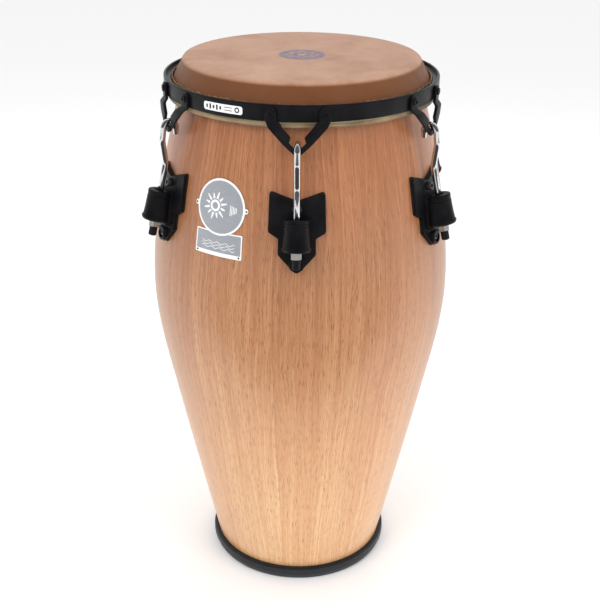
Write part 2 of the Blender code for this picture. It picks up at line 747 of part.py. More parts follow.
def rod_mesh():
    """J-shaped tuning rod: hook over the yoke, knee, bend and straight shank."""
    hook_centre = (YOKE_TIP_RADIUS - HOOK_INSET, SEAT_HEIGHT - HOOK_DROP)
    leg_end = (hook_centre[0] - HOOK_RADIUS, hook_centre[1] - HOOK_LEG)
    knee = (YOKE_TIP_RADIUS + KNEE_OUT, SEAT_HEIGHT - KNEE_DROP)
    arc = arc_points(hook_centre, HOOK_RADIUS, 180, 0, 6)
    end_drop = SHANK_ABOVE_EYE - CAP_TOP + CAP_CRUSH
    tail = Matrix.Rotation(ROD_TILT, 2) @ Vector((0.0, -end_drop))
    path = [leg_end] + arc + [knee, tuple(BEND_POINT), tuple(BEND_POINT + tail)]
    to_shank = Matrix.Rotation(-ROD_TILT, 2)
    local = [to_shank @ (Vector(point) - EYE_POINT) for point in path]
    rings = []
    for index, point in enumerate(local):
        before = local[max(index - 1, 0)]
        after = local[min(index + 1, len(local) - 1)]
        inward = (point - before).normalized() if index else Vector((0, 0))
        outward = (after - point).normalized() if index < len(local) - 1 else Vector((0, 0))
        along = (inward + outward).normalized()
        across = Vector((along.y, -along.x))
        ring = []
        for step in range(8):
            angle = 2 * math.pi * step / 8
            flat = point + across * (ROD_RADIUS * math.cos(angle))
            ring.append(Vector((ROD_RADIUS * math.sin(angle), -flat.x, flat.y)))
        rings.append(ring)
    return joined_rings("tuning_rod", rings, closed=False)


def nut_mesh():
    """Hexagon nut, its bore clear of the rod."""
    flat_to_corner = 1 / math.cos(math.pi / 6)
    bore = (ROD_RADIUS + FIT) * flat_to_corner
    corner = NUT_ACROSS_FLATS / 2 * flat_to_corner
    profile = [(corner, -NUT_HEIGHT), (corner, 0.0), (bore, 0.0), (bore, -NUT_HEIGHT)]
    return turned_mesh("tuning_nut", profile, 6)


def cap_mesh():
    """Rubber cap pushed on the end of the rod."""
    bore = ROD_RADIUS + FIT
    floor = -CAP_CRUSH - FIT
    profile = [
        (bore, floor), (bore, 0.0), (CAP_RADIUS, 0.0),
        (CAP_RADIUS, CAP_CHAMFER_HEIGHT - CAP_LENGTH), (CAP_RADIUS - CAP_CHAMFER, -CAP_LENGTH),
    ]
    return turned_mesh("rod_end_cap", profile, 8, closed=False)


def badge_mesh():
    """Round badge with side tabs over an oblong plate, bent to the shell."""
    centre = (0.0, DRUM_HEIGHT - BADGE_DROP)
    plate_top = centre[1] - BADGE_RADIUS + BADGE_PLATE_OVERLAP
    meet = math.degrees(math.asin((plate_top - centre[1]) / BADGE_RADIUS))
    tab = BADGE_RADIUS + BADGE_TAB
    tab_half = BADGE_TAB_HALF_HEIGHT
    tab_turn = math.degrees(math.asin(tab_half / BADGE_RADIUS))
    half = BADGE_PLATE_HALF_WIDTH
    low = plate_top - BADGE_PLATE_HEIGHT
    outline = [(-half, low), (half, low), (half, plate_top)]
    outline += arc_points(centre, BADGE_RADIUS, meet, -tab_turn, 2)
    outline += [(tab, centre[1] - tab_half), (tab, centre[1] + tab_half)]
    outline += arc_points(centre, BADGE_RADIUS, tab_turn, 180 - tab_turn, 10)
    outline += [(-tab, centre[1] + tab_half), (-tab, centre[1] - tab_half)]
    outline += arc_points(centre, BADGE_RADIUS, 180 + tab_turn, 180 - meet, 2)
    outline += [(-half, plate_top)]
    folds = (-BADGE_FOLD, 0.0, BADGE_FOLD)
    return shell_slab("badge_plate", outline, GAP, GAP + BADGE_THICKNESS, folds)


# ---- Assembly ----

def build_drum():
    """Shell, foot ring, head, hoops and badge."""
    wood = make_material("wood_shell", (0.55, 0.28, 0.13), 0.30)
    foot = make_material("foot_ring_rubber", (0.035, 0.045, 0.055), 0.45)
    skin = make_material("natural_skin", (0.55, 0.36, 0.26), 0.60)
    raw_skin = make_material("skin_edge", (0.30, 0.24, 0.14), 0.75)
    steel = make_material("black_powder_coat", (0.018, 0.019, 0.022), 0.35)
    silver = make_material("silver_badge", (0.62, 0.63, 0.62), 0.35, 0.9)
    add_object("shell", shell_mesh(), wood)
    add_object("base_ring", foot_ring_mesh(), foot)
    add_object("drum_head", head_mesh(), skin)
    add_object("flesh_hoop", flesh_hoop_mesh(), raw_skin)
    add_object("tension_hoop", tension_hoop_mesh(), steel)
    badge = add_object("badge_plate", badge_mesh(), silver)
    badge.rotation_euler.z = math.radians(BADGE_ANGLE)


def build_lugs():
    """Six tuning stations, each with its plate, bolts, sleeve, rod, nut, cap and yoke."""
    steel = make_material("black_lug_coat", (0.020, 0.021, 0.024), 0.35)
    rubber = make_material("black_rubber", (0.015, 0.015, 0.016), 0.60)
    chrome = make_material("chrome_rod", (0.75, 0.76, 0.78), 0.08, 1.0)
    zinc = make_material("zinc_nut", (0.70, 0.70, 0.68), 0.30, 1.0)
    black_bolt = make_material("black_bolt", (0.02, 0.02, 0.022), 0.40, 0.6)
    back = 2 * GAP + GASKET
    on_station = (
        ("hoop_yoke", yoke_mesh(), steel),
        ("lug_gasket", gasket_mesh(), rubber),
        ("lug_plate", plate_mesh(), steel),
    )
    on_rod = (
        ("lug_sleeve", sleeve_mesh(), rubber, 0.0),
        ("tuning_rod", rod_mesh(), chrome, 0.0),
        ("tuning_nut", nut_mesh(), zinc, NUT_TOP),
        ("rod_end_cap", cap_mesh(), rubber, CAP_TOP),
    )
    bolts = (
        ("lug_bolt_upper", back + PLATE + FIT, BOLT_HEAD_RADIUS, UPPER_BOLT_HEIGHT),
        ("lug_bolt_lower", back + NOSE_FLOOR + FIT, NOSE_BOLT_HEAD_RADIUS, LOWER_BOLT_HEIGHT),
    )
    bolt_meshes = [bolt_mesh(name, seat, radius) for name, seat, radius, _ in bolts]
    for number in range(LUG_COUNT):
        label = "_" + str(number + 1)
        turn = (0, 0, math.radians(number * STATION_ANGLE))
        station = add_empty("lug_station" + label, None, (0, 0, 0), turn)
        axis = add_empty(
            "rod_axis" + label, station, (0, -EYE_POINT.x, EYE_POINT.y), (-ROD_TILT, 0, 0))
        for name, mesh, material in on_station:
            add_object(name + label, mesh, material, station)
        for name, mesh, material, along in on_rod:
            add_object(name + label, mesh, material, axis, (0, 0, along))
        for (name, _, _, height), mesh in zip(bolts, bolt_meshes):
            bolt = add_object(name + label, mesh, black_bolt, station)
            bolt.matrix_local = bolt_matrix(height)


def main():
    """Build the whole drum."""
    clear_scene()
    build_drum()
    build_lugs()


main()
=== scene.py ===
"""Looks of the conga drum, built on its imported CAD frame. Metres, +Z up.

A lug is modelled once at -Y: t runs sideways, r outward from the axis, z up, and six
copies are turned into place. Sizes repeat the CAD's own; places come from the frame.
"""

import json
import math

import bmesh
import bpy
from mathutils import Matrix, Vector, noise


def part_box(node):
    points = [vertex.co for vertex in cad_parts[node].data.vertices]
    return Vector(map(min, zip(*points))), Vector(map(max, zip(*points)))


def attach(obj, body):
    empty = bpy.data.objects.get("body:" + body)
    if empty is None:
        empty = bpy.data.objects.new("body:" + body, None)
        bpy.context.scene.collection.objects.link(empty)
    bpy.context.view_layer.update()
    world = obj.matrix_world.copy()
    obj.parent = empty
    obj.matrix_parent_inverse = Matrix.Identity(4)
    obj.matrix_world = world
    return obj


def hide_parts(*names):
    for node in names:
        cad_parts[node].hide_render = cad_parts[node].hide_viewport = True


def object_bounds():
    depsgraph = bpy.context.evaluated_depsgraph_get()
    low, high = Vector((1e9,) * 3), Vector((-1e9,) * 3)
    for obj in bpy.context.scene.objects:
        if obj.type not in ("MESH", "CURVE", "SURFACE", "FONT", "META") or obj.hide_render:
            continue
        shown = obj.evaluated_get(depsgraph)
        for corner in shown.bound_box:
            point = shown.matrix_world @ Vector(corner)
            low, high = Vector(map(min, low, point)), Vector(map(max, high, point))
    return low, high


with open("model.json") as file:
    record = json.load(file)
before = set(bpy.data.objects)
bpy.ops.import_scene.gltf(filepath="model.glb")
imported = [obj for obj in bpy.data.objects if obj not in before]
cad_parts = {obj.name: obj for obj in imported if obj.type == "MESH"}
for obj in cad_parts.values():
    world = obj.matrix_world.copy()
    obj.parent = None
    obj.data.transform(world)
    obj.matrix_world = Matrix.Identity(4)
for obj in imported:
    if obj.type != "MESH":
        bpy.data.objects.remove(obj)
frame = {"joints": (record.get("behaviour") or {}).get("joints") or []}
cad_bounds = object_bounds()

# ---- Sizes shared with the CAD ----
LUG_COUNT = 6
DRUM_HEIGHT = cad_bounds[1][2]
SKIN = 0.0023
FIT = 0.0003
GAP = 0.0004
SLIP = 0.0008
SHELL_TOP = DRUM_HEIGHT - SKIN - FIT
SHELL_STATIONS = (
    (0.0, 0.1225, 0.222),
    (0.280, 0.1834, 0.205),
    (0.450, 0.2092, 0.0),
    (0.600, 0.1920, -0.175),
    (SHELL_TOP, 0.1550, -0.215),
)
WALL = 0.0110
HEAD_RADIUS = 0.1580
HEAD_SLOPE_DROP = 0.0270
HEAD_SKIRT_DROP = 0.0400
FOOT_WIDTH = 0.0215
FOOT_LIP = 0.0030
FOOT_TAPER = 0.0035
FOOT_TAPER_HEIGHT = 0.0085
HOOP_WALL = 0.0035
CROWN_REACH = 0.0062
FLESH_WALL = 0.0078
GASKET = 0.0015
GASKET_MARGIN = 0.0012
PLATE = 0.0040
PAD = 0.0048
NOSE = 0.0050
LUG_TOP = DRUM_HEIGHT - 0.1295
PLATE_NOTCH = 0.0115
WING_HALF_WIDTH = 0.0344
WING_HEIGHT = 0.0490
STEP_HEIGHT = 0.0075
BODY_HALF_WIDTH = 0.0217
BODY_HEIGHT = 0.0205
POINT_HEIGHT = 0.0235
PAD_HALF_WIDTH = 0.0180
PAD_TOP_DROP = 0.0275
NOSE_HALF_WIDTH = 0.0090
NOSE_RISE = 0.0040
NOSE_HEIGHT = 0.0180
NOSE_FLOOR = 0.0030
UPPER_BOLT_DROP = 0.0200
BOLT_RADIUS = 0.0030
WASHER_RADIUS = 0.0080
WASHER_THICKNESS = 0.0015
WASHER_STAND_OFF = 0.0012
BOLT_HEAD_RADIUS = 0.0058
BOLT_HEAD_HEIGHT = 0.0042
NOSE_BOLT_HEAD_RADIUS = 0.0045
ROD_RADIUS = 0.0040
HOOK_RADIUS = 0.0085
HOOK_LEG = 0.0095
HOOK_DROP = 0.0037
HOOK_INSET = 0.0014
BEND_DROP = 0.0490
BEND_OUT = 0.0062
KNEE_DROP = 0.0200
KNEE_OUT = 0.0095
SLEEVE_RADIUS = 0.0158
SLEEVE_LID = 0.0045
SLEEVE_GROOVE = 0.0030
SLEEVE_GROOVE_DEPTH = 0.0026
SLEEVE_FLARE = 0.0185
SLEEVE_LENGTH = 0.0400
SLEEVE_BORE = 0.0050
EYE_RADIUS = 0.0155
NUT_ACROSS_FLATS = 0.0130
NUT_HEIGHT = 0.0092
CAP_RADIUS = 0.0057
CAP_LENGTH = 0.0125
CAP_CRUSH = 0.0085
YOKE_PLATE = 0.0040
YOKE_EDGE = 0.0015
YOKE_SCREW_SPREAD = 0.0325
YOKE_SEAT_DROP = 0.0289
YOKE_TIP_DROP = 0.0385
YOKE_STAND_OUT = 0.0099
YOKE_SCREW_RISE = 0.0006
EAR_HALF_WIDTH = 0.0070
YOKE_ARM = (
    ((0.31, 0.78), (0.45, 0.93)),
    ((0.24, 0.55), (0.62, 0.72)),
    ((0.43, 0.31), (0.83, 0.46)),
    ((0.66, 0.02), (1.08, 0.15)),
)
BADGE_ANGLE = -30.5
BADGE_RADIUS = 0.0358
BADGE_HEIGHT = DRUM_HEIGHT - 0.1580
BADGE_THICKNESS = 0.0010
BADGE_TAB = 0.0042
BADGE_PLATE_HALF_WIDTH = 0.0340
BADGE_PLATE_HEIGHT = 0.0315
BADGE_PLATE_OVERLAP = 0.0045

# ---- Viewpoint: lens in mm, angles in degrees ----
LENS = 67.0
CAMERA_DISTANCE = 1.4927
CAMERA_HEIGHT = 1.0805
CAMERA_SPIN = 1.3
CAMERA_TILT = 65.56
CAMERA_ROLL = 0.43

# ---- Details that only the looks have ----
STAVE_COUNT = 21
THREAD_PITCH = 0.00125
THREAD_DEPTH = 0.00045
THREAD_LENGTH = 0.0480
LABEL_ANGLES = (-39.2, -21.4)
LABEL_HALF_HEIGHT = 0.0052
PRINT_RADIUS = 0.0315

# ---- Places read from the frame ----
HOOP_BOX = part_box("tension_hoop")
HOOP_OUTER = HOOP_BOX[1][0]
HOOP_BOTTOM = HOOP_BOX[0][2]
HOOP_TOP = HOOP_BOX[1][2]
HOOP_INNER = HOOP_OUTER - HOOP_WALL
FLESH_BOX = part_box("flesh_hoop")
FLESH_OUTER = HOOP_INNER - SLIP
FLESH_INNER = FLESH_OUTER - FLESH_WALL
FLESH_BOTTOM = FLESH_BOX[0][2]
FLESH_TOP = FLESH_BOX[1][2]
CROWN_BOTTOM = FLESH_TOP + GAP
CROWN_TOP = CROWN_BOTTOM + 0.0026
FOOT_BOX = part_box("base_ring")
FIRST_NUT = next(joint for joint in frame["joints"] if joint["name"] == "nut_1_turn")
EYE_PLACE = Vector(FIRST_NUT["pos_m"])
EYE_POINT = Vector((math.hypot(EYE_PLACE.x, EYE_PLACE.y), EYE_PLACE.z))
ROD_TILT = math.acos(FIRST_NUT["axis"][2])
SEAT_HEIGHT = HOOP_BOTTOM - YOKE_SEAT_DROP
TIP_HEIGHT = HOOP_BOTTOM - YOKE_TIP_DROP
YOKE_TIP_RADIUS = HOOP_OUTER + YOKE_STAND_OUT
YOKE_SCREW_HEIGHT = (HOOP_BOTTOM + HOOP_TOP) / 2 + YOKE_SCREW_RISE
LUG_BOTTOM = LUG_TOP - WING_HEIGHT - STEP_HEIGHT - BODY_HEIGHT - POINT_HEIGHT
BOLT_HEIGHTS = (LUG_TOP - UPPER_BOLT_DROP, LUG_BOTTOM + NOSE_RISE + NOSE_HALF_WIDTH)
PLATE_BACK = 2 * GAP + GASKET
PLATE_FACE = PLATE_BACK + PLATE
SLEEVE_TOP = SLEEVE_LID + SLEEVE_GROOVE / 2
NUT_TOP = SLEEVE_TOP - SLEEVE_LENGTH - FIT
CAP_TOP = NUT_TOP - NUT_HEIGHT - FIT


# ---- Camera, light and floor ----

def linked(name, data):
    """A new object in the scene."""
    item = bpy.data.objects.new(name, data)
    bpy.context.scene.collection.objects.link(item)
    return item


def add_camera():
    """Viewpoint in front of lug 1, a little to its right, looking down."""
    data = bpy.data.cameras.new("camera")
    data.lens = LENS
    data.sensor_width = 36.0
    data.clip_start = 0.05
    camera = linked("camera", data)
    spin = Matrix.Rotation(math.radians(CAMERA_SPIN), 4, "Z")
    place = spin @ Matrix.Translation((0, -CAMERA_DISTANCE, CAMERA_HEIGHT))
    look = Matrix.Rotation(math.radians(CAMERA_TILT), 4, "X")
    roll = Matrix.Rotation(math.radians(CAMERA_ROLL), 4, "Z")
    camera.matrix_world = place @ look @ roll
    bpy.context.scene.camera = camera


def add_area_light(name, place, target, size, power):
    """A soft rectangular lamp aimed at a point and not mirrored by shiny parts."""
    data = bpy.data.lights.new(name, "AREA")
    data.shape = "RECTANGLE"
    data.size = size[0]
    data.size_y = size[1]
    data.energy = power
    lamp = linked(name, data)
    lamp.visible_glossy = False
    lamp.location = place
    lamp.rotation_euler = (Vector(target) - Vector(place)).to_track_quat("-Z", "Y").to_euler()


def studio_world():
    """Even white light, with the photographer's side dark where shiny parts mirror it."""
    world = bpy.data.worlds.new("studio")
    world.use_nodes = True
    tree = world.node_tree
    background = tree.nodes["Background"]
    place = tree.nodes.new("ShaderNodeTexCoord")
    split = tree.nodes.new("ShaderNodeSeparateXYZ")
    depth = tree.nodes.new("ShaderNodeMapRange")
    seen = tree.nodes.new("ShaderNodeLightPath")
    mirrored = tree.nodes.new("ShaderNodeMix")
    strength = tree.nodes.new("ShaderNodeMath")
    strength.operation = "MAXIMUM"
    depth.inputs["From Min"].default_value = -0.35
    depth.inputs["From Max"].default_value = 0.45
    depth.inputs["To Min"].default_value = 0.10
    depth.inputs["To Max"].default_value = 0.85
    tree.links.new(place.outputs["Generated"], split.inputs[0])
    tree.links.new(split.outputs["Y"], depth.inputs["Value"])
    tree.links.new(seen.outputs["Is Glossy Ray"], mirrored.inputs["Factor"])
    mirrored.inputs[2].default_value = 1.0
    tree.links.new(depth.outputs[0], mirrored.inputs[3])
    tree.links.new(mirrored.outputs[0], strength.inputs[0])
    tree.links.new(seen.outputs["Is Camera Ray"], strength.inputs[1])
    tree.links.new(strength.outputs[0], background.inputs["Strength"])
    background.inputs["Color"].default_value = (1.0, 1.0, 1.0, 1.0)
    return world


def add_sheet(name, low, high, level, material):
    """A level sheet of the studio between two (x, y) corners."""
    mesh = bpy.data.meshes.new(name)
    corners = [(low[0], low[1], level), (high[0], low[1], level), (high[0], high[1], level),
               (low[0], high[1], level)]
    mesh.from_pydata(corners, [], [(0, 1, 2, 3)])
    mesh.materials.append(material)
    sheet = linked(name, mesh)
    return sheet


def add_studio():
    """White surroundings, three soft lamps, a pale floor and a card that only mirrors show."""
    scene = bpy.context.scene
    scene.world = studio_world()
    scene.view_settings.view_transform = "Standard"
    add_area_light("key_light", (-1.1, -1.6, 2.0), (0, 0, 0.35), (1.2, 1.2), 18)
    add_area_light("fill_light", (1.6, -1.2, 1.2), (0, 0, 0.35), (1.0, 1.6), 14)
    add_area_light("back_light", (0.2, 1.8, 2.0), (0, 0, 0.7), (1.6, 0.8), 10)
    paper = plain_material("floor_paper", (0.93, 0.93, 0.93), 0.9)
    card = plain_material("dark_card", (0.03, 0.03, 0.03), 0.9)
    add_sheet("floor", (-6.0, -6.0), (6.0, 6.0), 0.0, paper)
    mirrored = add_sheet("front_card", (-1.8, -3.0), (1.8, -0.45), 0.002, card)
    mirrored.visible_camera = False
    mirrored.visible_diffuse = False
    mirrored.visible_shadow = False


# ---- Materials ----

def plain_material(name, colour, roughness, metallic=0.0, **sockets):
    """A Principled material; sockets are given by name with spaces as underscores."""
    material = bpy.data.materials.new(name)
    material.use_nodes = True
    shader = material.node_tree.nodes["Principled BSDF"]
    shader.inputs["Base Color"].default_value = (*colour, 1.0)
    shader.inputs["Roughness"].default_value = roughness
    shader.inputs["Metallic"].default_value = metallic
    for socket, value in sockets.items():
        shader.inputs[socket.replace("_", " ")].default_value = value
    return material


class Graph:
    """Shorthand for wiring a material's nodes."""

    def __init__(self, material):
        self.tree = material.node_tree
        self.shader = self.tree.nodes["Principled BSDF"]
        self.object = self.add("ShaderNodeTexCoord").outputs["Object"]

    def add(self, kind, **settings):
        """A node with its settings."""
        node = self.tree.nodes.new(kind)
        for key, value in settings.items():
            setattr(node, key, value)
        return node

    def feed(self, socket, value):
        """Link an output or set a constant on a socket."""
        if isinstance(value, bpy.types.NodeSocket):
            self.tree.links.new(value, socket)
        else:
            socket.default_value = value

    def math(self, operation, first, second=0.0):
        """One math step."""
        node = self.add("ShaderNodeMath", operation=operation)
        self.feed(node.inputs[0], first)
        self.feed(node.inputs[1], second)
        return node.outputs[0]

    def split(self, vector):
        """X, Y and Z of a vector."""
        node = self.add("ShaderNodeSeparateXYZ")
        self.feed(node.inputs[0], vector)
        return node.outputs

    def join(self, x, y, z):
        """A vector from three values."""
        node = self.add("ShaderNodeCombineXYZ")
        for socket, value in zip(node.inputs, (x, y, z)):
            self.feed(socket, value)
        return node.outputs[0]

    def scaled(self, vector, factors):
        """A vector stretched by three factors."""
        node = self.add("ShaderNodeVectorMath", operation="MULTIPLY")
        self.feed(node.inputs[0], vector)
        node.inputs[1].default_value = factors
        return node.outputs[0]

    def noise(self, vector, scale, detail=3.0, roughness=0.55, distortion=0.0):
        """Fractal noise from 0 to 1."""
        node = self.add("ShaderNodeTexNoise")
        self.feed(node.inputs["Vector"], vector)
        for socket, value in (("Scale", scale), ("Detail", detail), ("Roughness", roughness),
                              ("Distortion", distortion)):
            node.inputs[socket].default_value = value
        return node.outputs["Fac"]

    def stretch(self, value, low, high, to_low=0.0, to_high=1.0):
        """Map a range onto another, clamped."""
        node = self.add("ShaderNodeMapRange")
        for socket, item in zip(node.inputs, (value, low, high, to_low, to_high)):
            self.feed(socket, item)
        return node.outputs[0]

    def ramp(self, value, stops):
        """A colour ramp of (position, colour) stops."""
        node = self.add("ShaderNodeValToRGB")
        self.feed(node.inputs[0], value)
        elements = node.color_ramp.elements
        while len(elements) < len(stops):
            elements.new(0.5)
        for element, (position, colour) in zip(elements, stops):
            element.position = position
            element.color = (*colour, 1.0)
        return node.outputs[0]

    def mix(self, share, first, second, blend="MIX"):
        """Two colours mixed."""
        node = self.add("ShaderNodeMix", data_type="RGBA", blend_type=blend)
        self.feed(node.inputs["Factor"], share)
        for socket, colour in ((node.inputs[6], first), (node.inputs[7], second)):
            if isinstance(colour, tuple):
                colour = (*colour, 1.0)
            self.feed(socket, colour)
        return node.outputs[2]

    def bump(self, *layers):
        """Bump from (height, strength, distance in metres) layers."""
        normal = None
        for height, strength, distance in layers:
            node = self.add("ShaderNodeBump")
            node.inputs["Strength"].default_value = strength
            node.inputs["Distance"].default_value = distance
            self.feed(node.inputs["Height"], height)
            if normal is not None:
                self.feed(node.inputs["Normal"], normal)
            normal = node.outputs["Normal"]
        self.feed(self.shader.inputs["Normal"], normal)

    def colour(self, value):
        """The base colour."""
        self.feed(self.shader.inputs["Base Color"], value)

    def roughness(self, value):
        """The roughness."""
        self.feed(self.shader.inputs["Roughness"], value)


def wood_material(name, lacquered):
    """Staves of pale open-pored wood, redder towards the head and darker there with painted shade.
    """
    material = plain_material(name, (0.6, 0.35, 0.2), 0.45)
    graph = Graph(material)
    if lacquered:
        graph.shader.inputs["Coat Weight"].default_value = 0.50
        graph.shader.inputs["Coat IOR"].default_value = 1.65
        graph.shader.inputs["Coat Roughness"].default_value = 0.28
    x, y, z = graph.split(graph.object)
    angle = graph.math("ARCTAN2", x, y)
    turns = graph.math("MULTIPLY", angle, STAVE_COUNT / (2 * math.pi))
    stave = graph.math("FLOOR", turns)
    chance = graph.add("ShaderNodeTexWhiteNoise", noise_dimensions="1D")
    graph.feed(chance.inputs["W"], stave)
    tone = chance.outputs["Value"]
    across = graph.math("MULTIPLY", angle, 0.2)
    offset = graph.math("MULTIPLY", tone, 7.0)
    flat = graph.join(across, graph.math("ADD", z, offset), offset)
    bow = graph.noise(graph.scaled(flat, (9.0, 2.2, 1.0)), 1.0, 2.0)
    drift = graph.math("MULTIPLY", graph.math("SUBTRACT", bow, 0.5), 0.055)
    bent = graph.join(graph.math("ADD", across, drift), graph.math("ADD", z, offset), offset)
    rings = graph.noise(graph.scaled(bent, (330.0, 2.4, 1.0)), 1.0, 4.0, 0.70)
    fibres = graph.noise(graph.scaled(bent, (900.0, 14.0, 1.0)), 1.0, 3.0, 0.65)
    pores = graph.noise(graph.scaled(bent, (1500.0, 70.0, 1.0)), 1.0, 2.0, 0.5)
    blush = graph.noise(graph.scaled(flat, (14.0, 3.5, 1.0)), 1.0, 3.0)
    pore = graph.stretch(pores, 0.57, 0.68)
    height = graph.stretch(z, 0.0, DRUM_HEIGHT)
    # Both tones turn redder and darker towards the head: partly the wood's own redder tone, partly
    # painted shade.
    pale = graph.mix(height, (0.900, 0.625, 0.345), (0.620, 0.265, 0.115))
    deep = graph.mix(height, (0.670, 0.350, 0.150), (0.350, 0.118, 0.040))
    share = graph.math("ADD", graph.stretch(rings, 0.36, 0.64, 0.0, 0.85),
                       graph.stretch(tone, 0.0, 1.0, -0.30, 0.38))
    body = graph.mix(share, pale, deep)
    body = graph.mix(graph.stretch(tone, 0.45, 1.0, 0.0, 0.20), body, deep)
    body = graph.mix(graph.stretch(blush, 0.42, 0.75, 0.0, 0.35), body, (0.62, 0.25, 0.13))
    body = graph.mix(graph.stretch(fibres, 0.35, 0.70, 0.0, 0.60), body, deep)
    body = graph.mix(graph.math("MULTIPLY", pore, 0.75), body, (0.22, 0.080, 0.030))
    # Painted shade: the wood is multiplied darker towards the head, with a slight warm tint.
    painted_height_shade = graph.ramp(height, [
        (0.16, (1.00, 1.00, 1.00)), (0.34, (0.94, 0.89, 0.86)), (0.54, (0.78, 0.72, 0.67)),
        (0.70, (0.70, 0.64, 0.59)), (0.87, (0.74, 0.66, 0.60))])
    body = graph.mix(1.0, body, painted_height_shade, "MULTIPLY")
    seam = graph.math("PINGPONG", graph.math("SUBTRACT", turns, stave), 0.5)
    line = graph.stretch(seam, 0.0, 0.012, 0.30, 0.0)
    graph.colour(graph.mix(line, body, (0.22, 0.09, 0.04)))
    graph.roughness(graph.stretch(fibres, 0.2, 0.8, 0.34 if lacquered else 0.6,
                                  0.50 if lacquered else 0.8))
    graph.bump((pores, 0.25 if lacquered else 0.6, 0.0002), (rings, 0.12, 0.0004))
    return material


def skin_material(name):
    """Natural hide with cloudy tone, pores and a round printed mark in the middle."""
    material = plain_material(name, (0.5, 0.3, 0.2), 0.55)
    graph = Graph(material)
    graph.shader.inputs["Sheen Weight"].default_value = 0.04
    graph.shader.inputs["Specular IOR Level"].default_value = 0.35
    x, y, z = graph.split(graph.object)
    clouds = graph.noise(graph.object, 9.0, 5.0, 0.6, 0.4)
    mottle = graph.noise(graph.object, 55.0, 4.0, 0.6)
    specks = graph.noise(graph.object, 420.0, 2.0)
    streaks = graph.noise(graph.scaled(graph.object, (40.0, 160.0, 40.0)), 1.0, 3.0)
    tone = graph.math("ADD", graph.math("MULTIPLY", clouds, 0.6),
                      graph.math("MULTIPLY", mottle, 0.4))
    hide = graph.ramp(tone, [
        (0.34, (0.300, 0.145, 0.076)), (0.50, (0.410, 0.222, 0.138)),
        (0.66, (0.485, 0.285, 0.192))])
    hide = graph.mix(graph.stretch(specks, 0.55, 0.75, 0.0, 0.30), hide, (0.20, 0.075, 0.035))
    hide = graph.mix(graph.stretch(streaks, 0.55, 0.8, 0.0, 0.16), hide, (0.44, 0.28, 0.20))
    side = graph.stretch(z, DRUM_HEIGHT - 0.0050, DRUM_HEIGHT - 0.0015, 1.0, 0.0)
    hide = graph.mix(graph.math("MULTIPLY", side, 0.90), hide, (0.128, 0.034, 0.002))
    radius = graph.math("SQRT", graph.math("ADD", graph.math("MULTIPLY", x, x),
                                           graph.math("MULTIPLY", y, y)))
    angle = graph.math("ARCTAN2", y, x)
    edge = graph.stretch(radius, PRINT_RADIUS - 0.0006, PRINT_RADIUS, 1.0, 0.0)
    petals = graph.math("COSINE", graph.math("MULTIPLY", angle, 8.0))
    reach = graph.math("ADD", graph.math("MULTIPLY", petals, 0.0045), 0.0170)
    flower = graph.math("SUBTRACT", radius, reach)
    outline = graph.stretch(graph.math("ABSOLUTE", flower), 0.0012, 0.0020, 1.0, 0.0)
    core = graph.stretch(radius, 0.0052, 0.0058, 1.0, 0.0)
    cut = graph.math("MAXIMUM", outline, core)
    inked = graph.math("MULTIPLY", edge, graph.math("SUBTRACT", 1.0, cut))
    worn = graph.math("MULTIPLY", inked, graph.stretch(mottle, 0.25, 0.55, 0.72, 0.95))
    upward = graph.stretch(z, DRUM_HEIGHT - 0.0020, DRUM_HEIGHT - 0.0010)
    graph.colour(graph.mix(graph.math("MULTIPLY", worn, upward), hide, (0.150, 0.125, 0.180)))
    graph.roughness(graph.stretch(mottle, 0.3, 0.7, 0.44, 0.60))
    graph.bump((mottle, 0.22, 0.0006), (specks, 0.25, 0.00015), (streaks, 0.10, 0.0003))
    return material


def rawhide_material(name, pale, dark):
    """The hide's folded and trimmed edge: fibrous, uneven and pale."""
    material = plain_material(name, pale, 0.7)
    graph = Graph(material)
    x, y, z = graph.split(graph.object)
    around = graph.math("MULTIPLY", graph.math("ARCTAN2", y, x), 0.18)
    flat = graph.join(around, z, graph.math("MULTIPLY", z, 0.5))
    patches = graph.noise(graph.scaled(flat, (26.0, 60.0, 20.0)), 1.0, 4.0, 0.6, 0.5)
    fibres = graph.noise(graph.scaled(flat, (160.0, 900.0, 60.0)), 1.0, 3.0)
    layers = graph.noise(graph.scaled(flat, (9.0, 330.0, 10.0)), 1.0, 2.0, 0.5, 0.3)
    tone = graph.math("ADD", graph.math("MULTIPLY", patches, 0.55),
                      graph.math("MULTIPLY", layers, 0.45))
    middle = tuple((a + b) / 2 for a, b in zip(pale, dark))
    hide = graph.ramp(tone, [(0.36, dark), (0.50, middle), (0.64, pale)])
    graph.colour(graph.mix(graph.stretch(fibres, 0.5, 0.8, 0.0, 0.4), hide, dark))
    graph.roughness(graph.stretch(patches, 0.3, 0.7, 0.55, 0.82))
    graph.bump((layers, 0.55, 0.0010), (fibres, 0.35, 0.0003))
    return material


def coated_material(name, colour, roughness, grain, scale=1400.0, specular=0.5):
    """Powder coat, rubber or oxide: a dark skin with fine grain and slight bloom."""
    material = plain_material(name, colour, roughness)
    graph = Graph(material)
    graph.shader.inputs["Specular IOR Level"].default_value = specular
    fine = graph.noise(graph.object, scale, 2.0)
    bloom = graph.noise(graph.object, 38.0, 4.0, 0.6)
    lighter = tuple(min(channel * 1.9 + 0.006, 1.0) for channel in colour)
    graph.colour(graph.mix(graph.stretch(bloom, 0.40, 0.75, 0.0, 0.55), colour, lighter))
    spread = graph.math("ADD", graph.math("MULTIPLY", bloom, 0.16), roughness - 0.08)
    graph.roughness(spread)
    graph.bump((fine, grain, 0.00025), (bloom, 0.05, 0.0006))
    return material


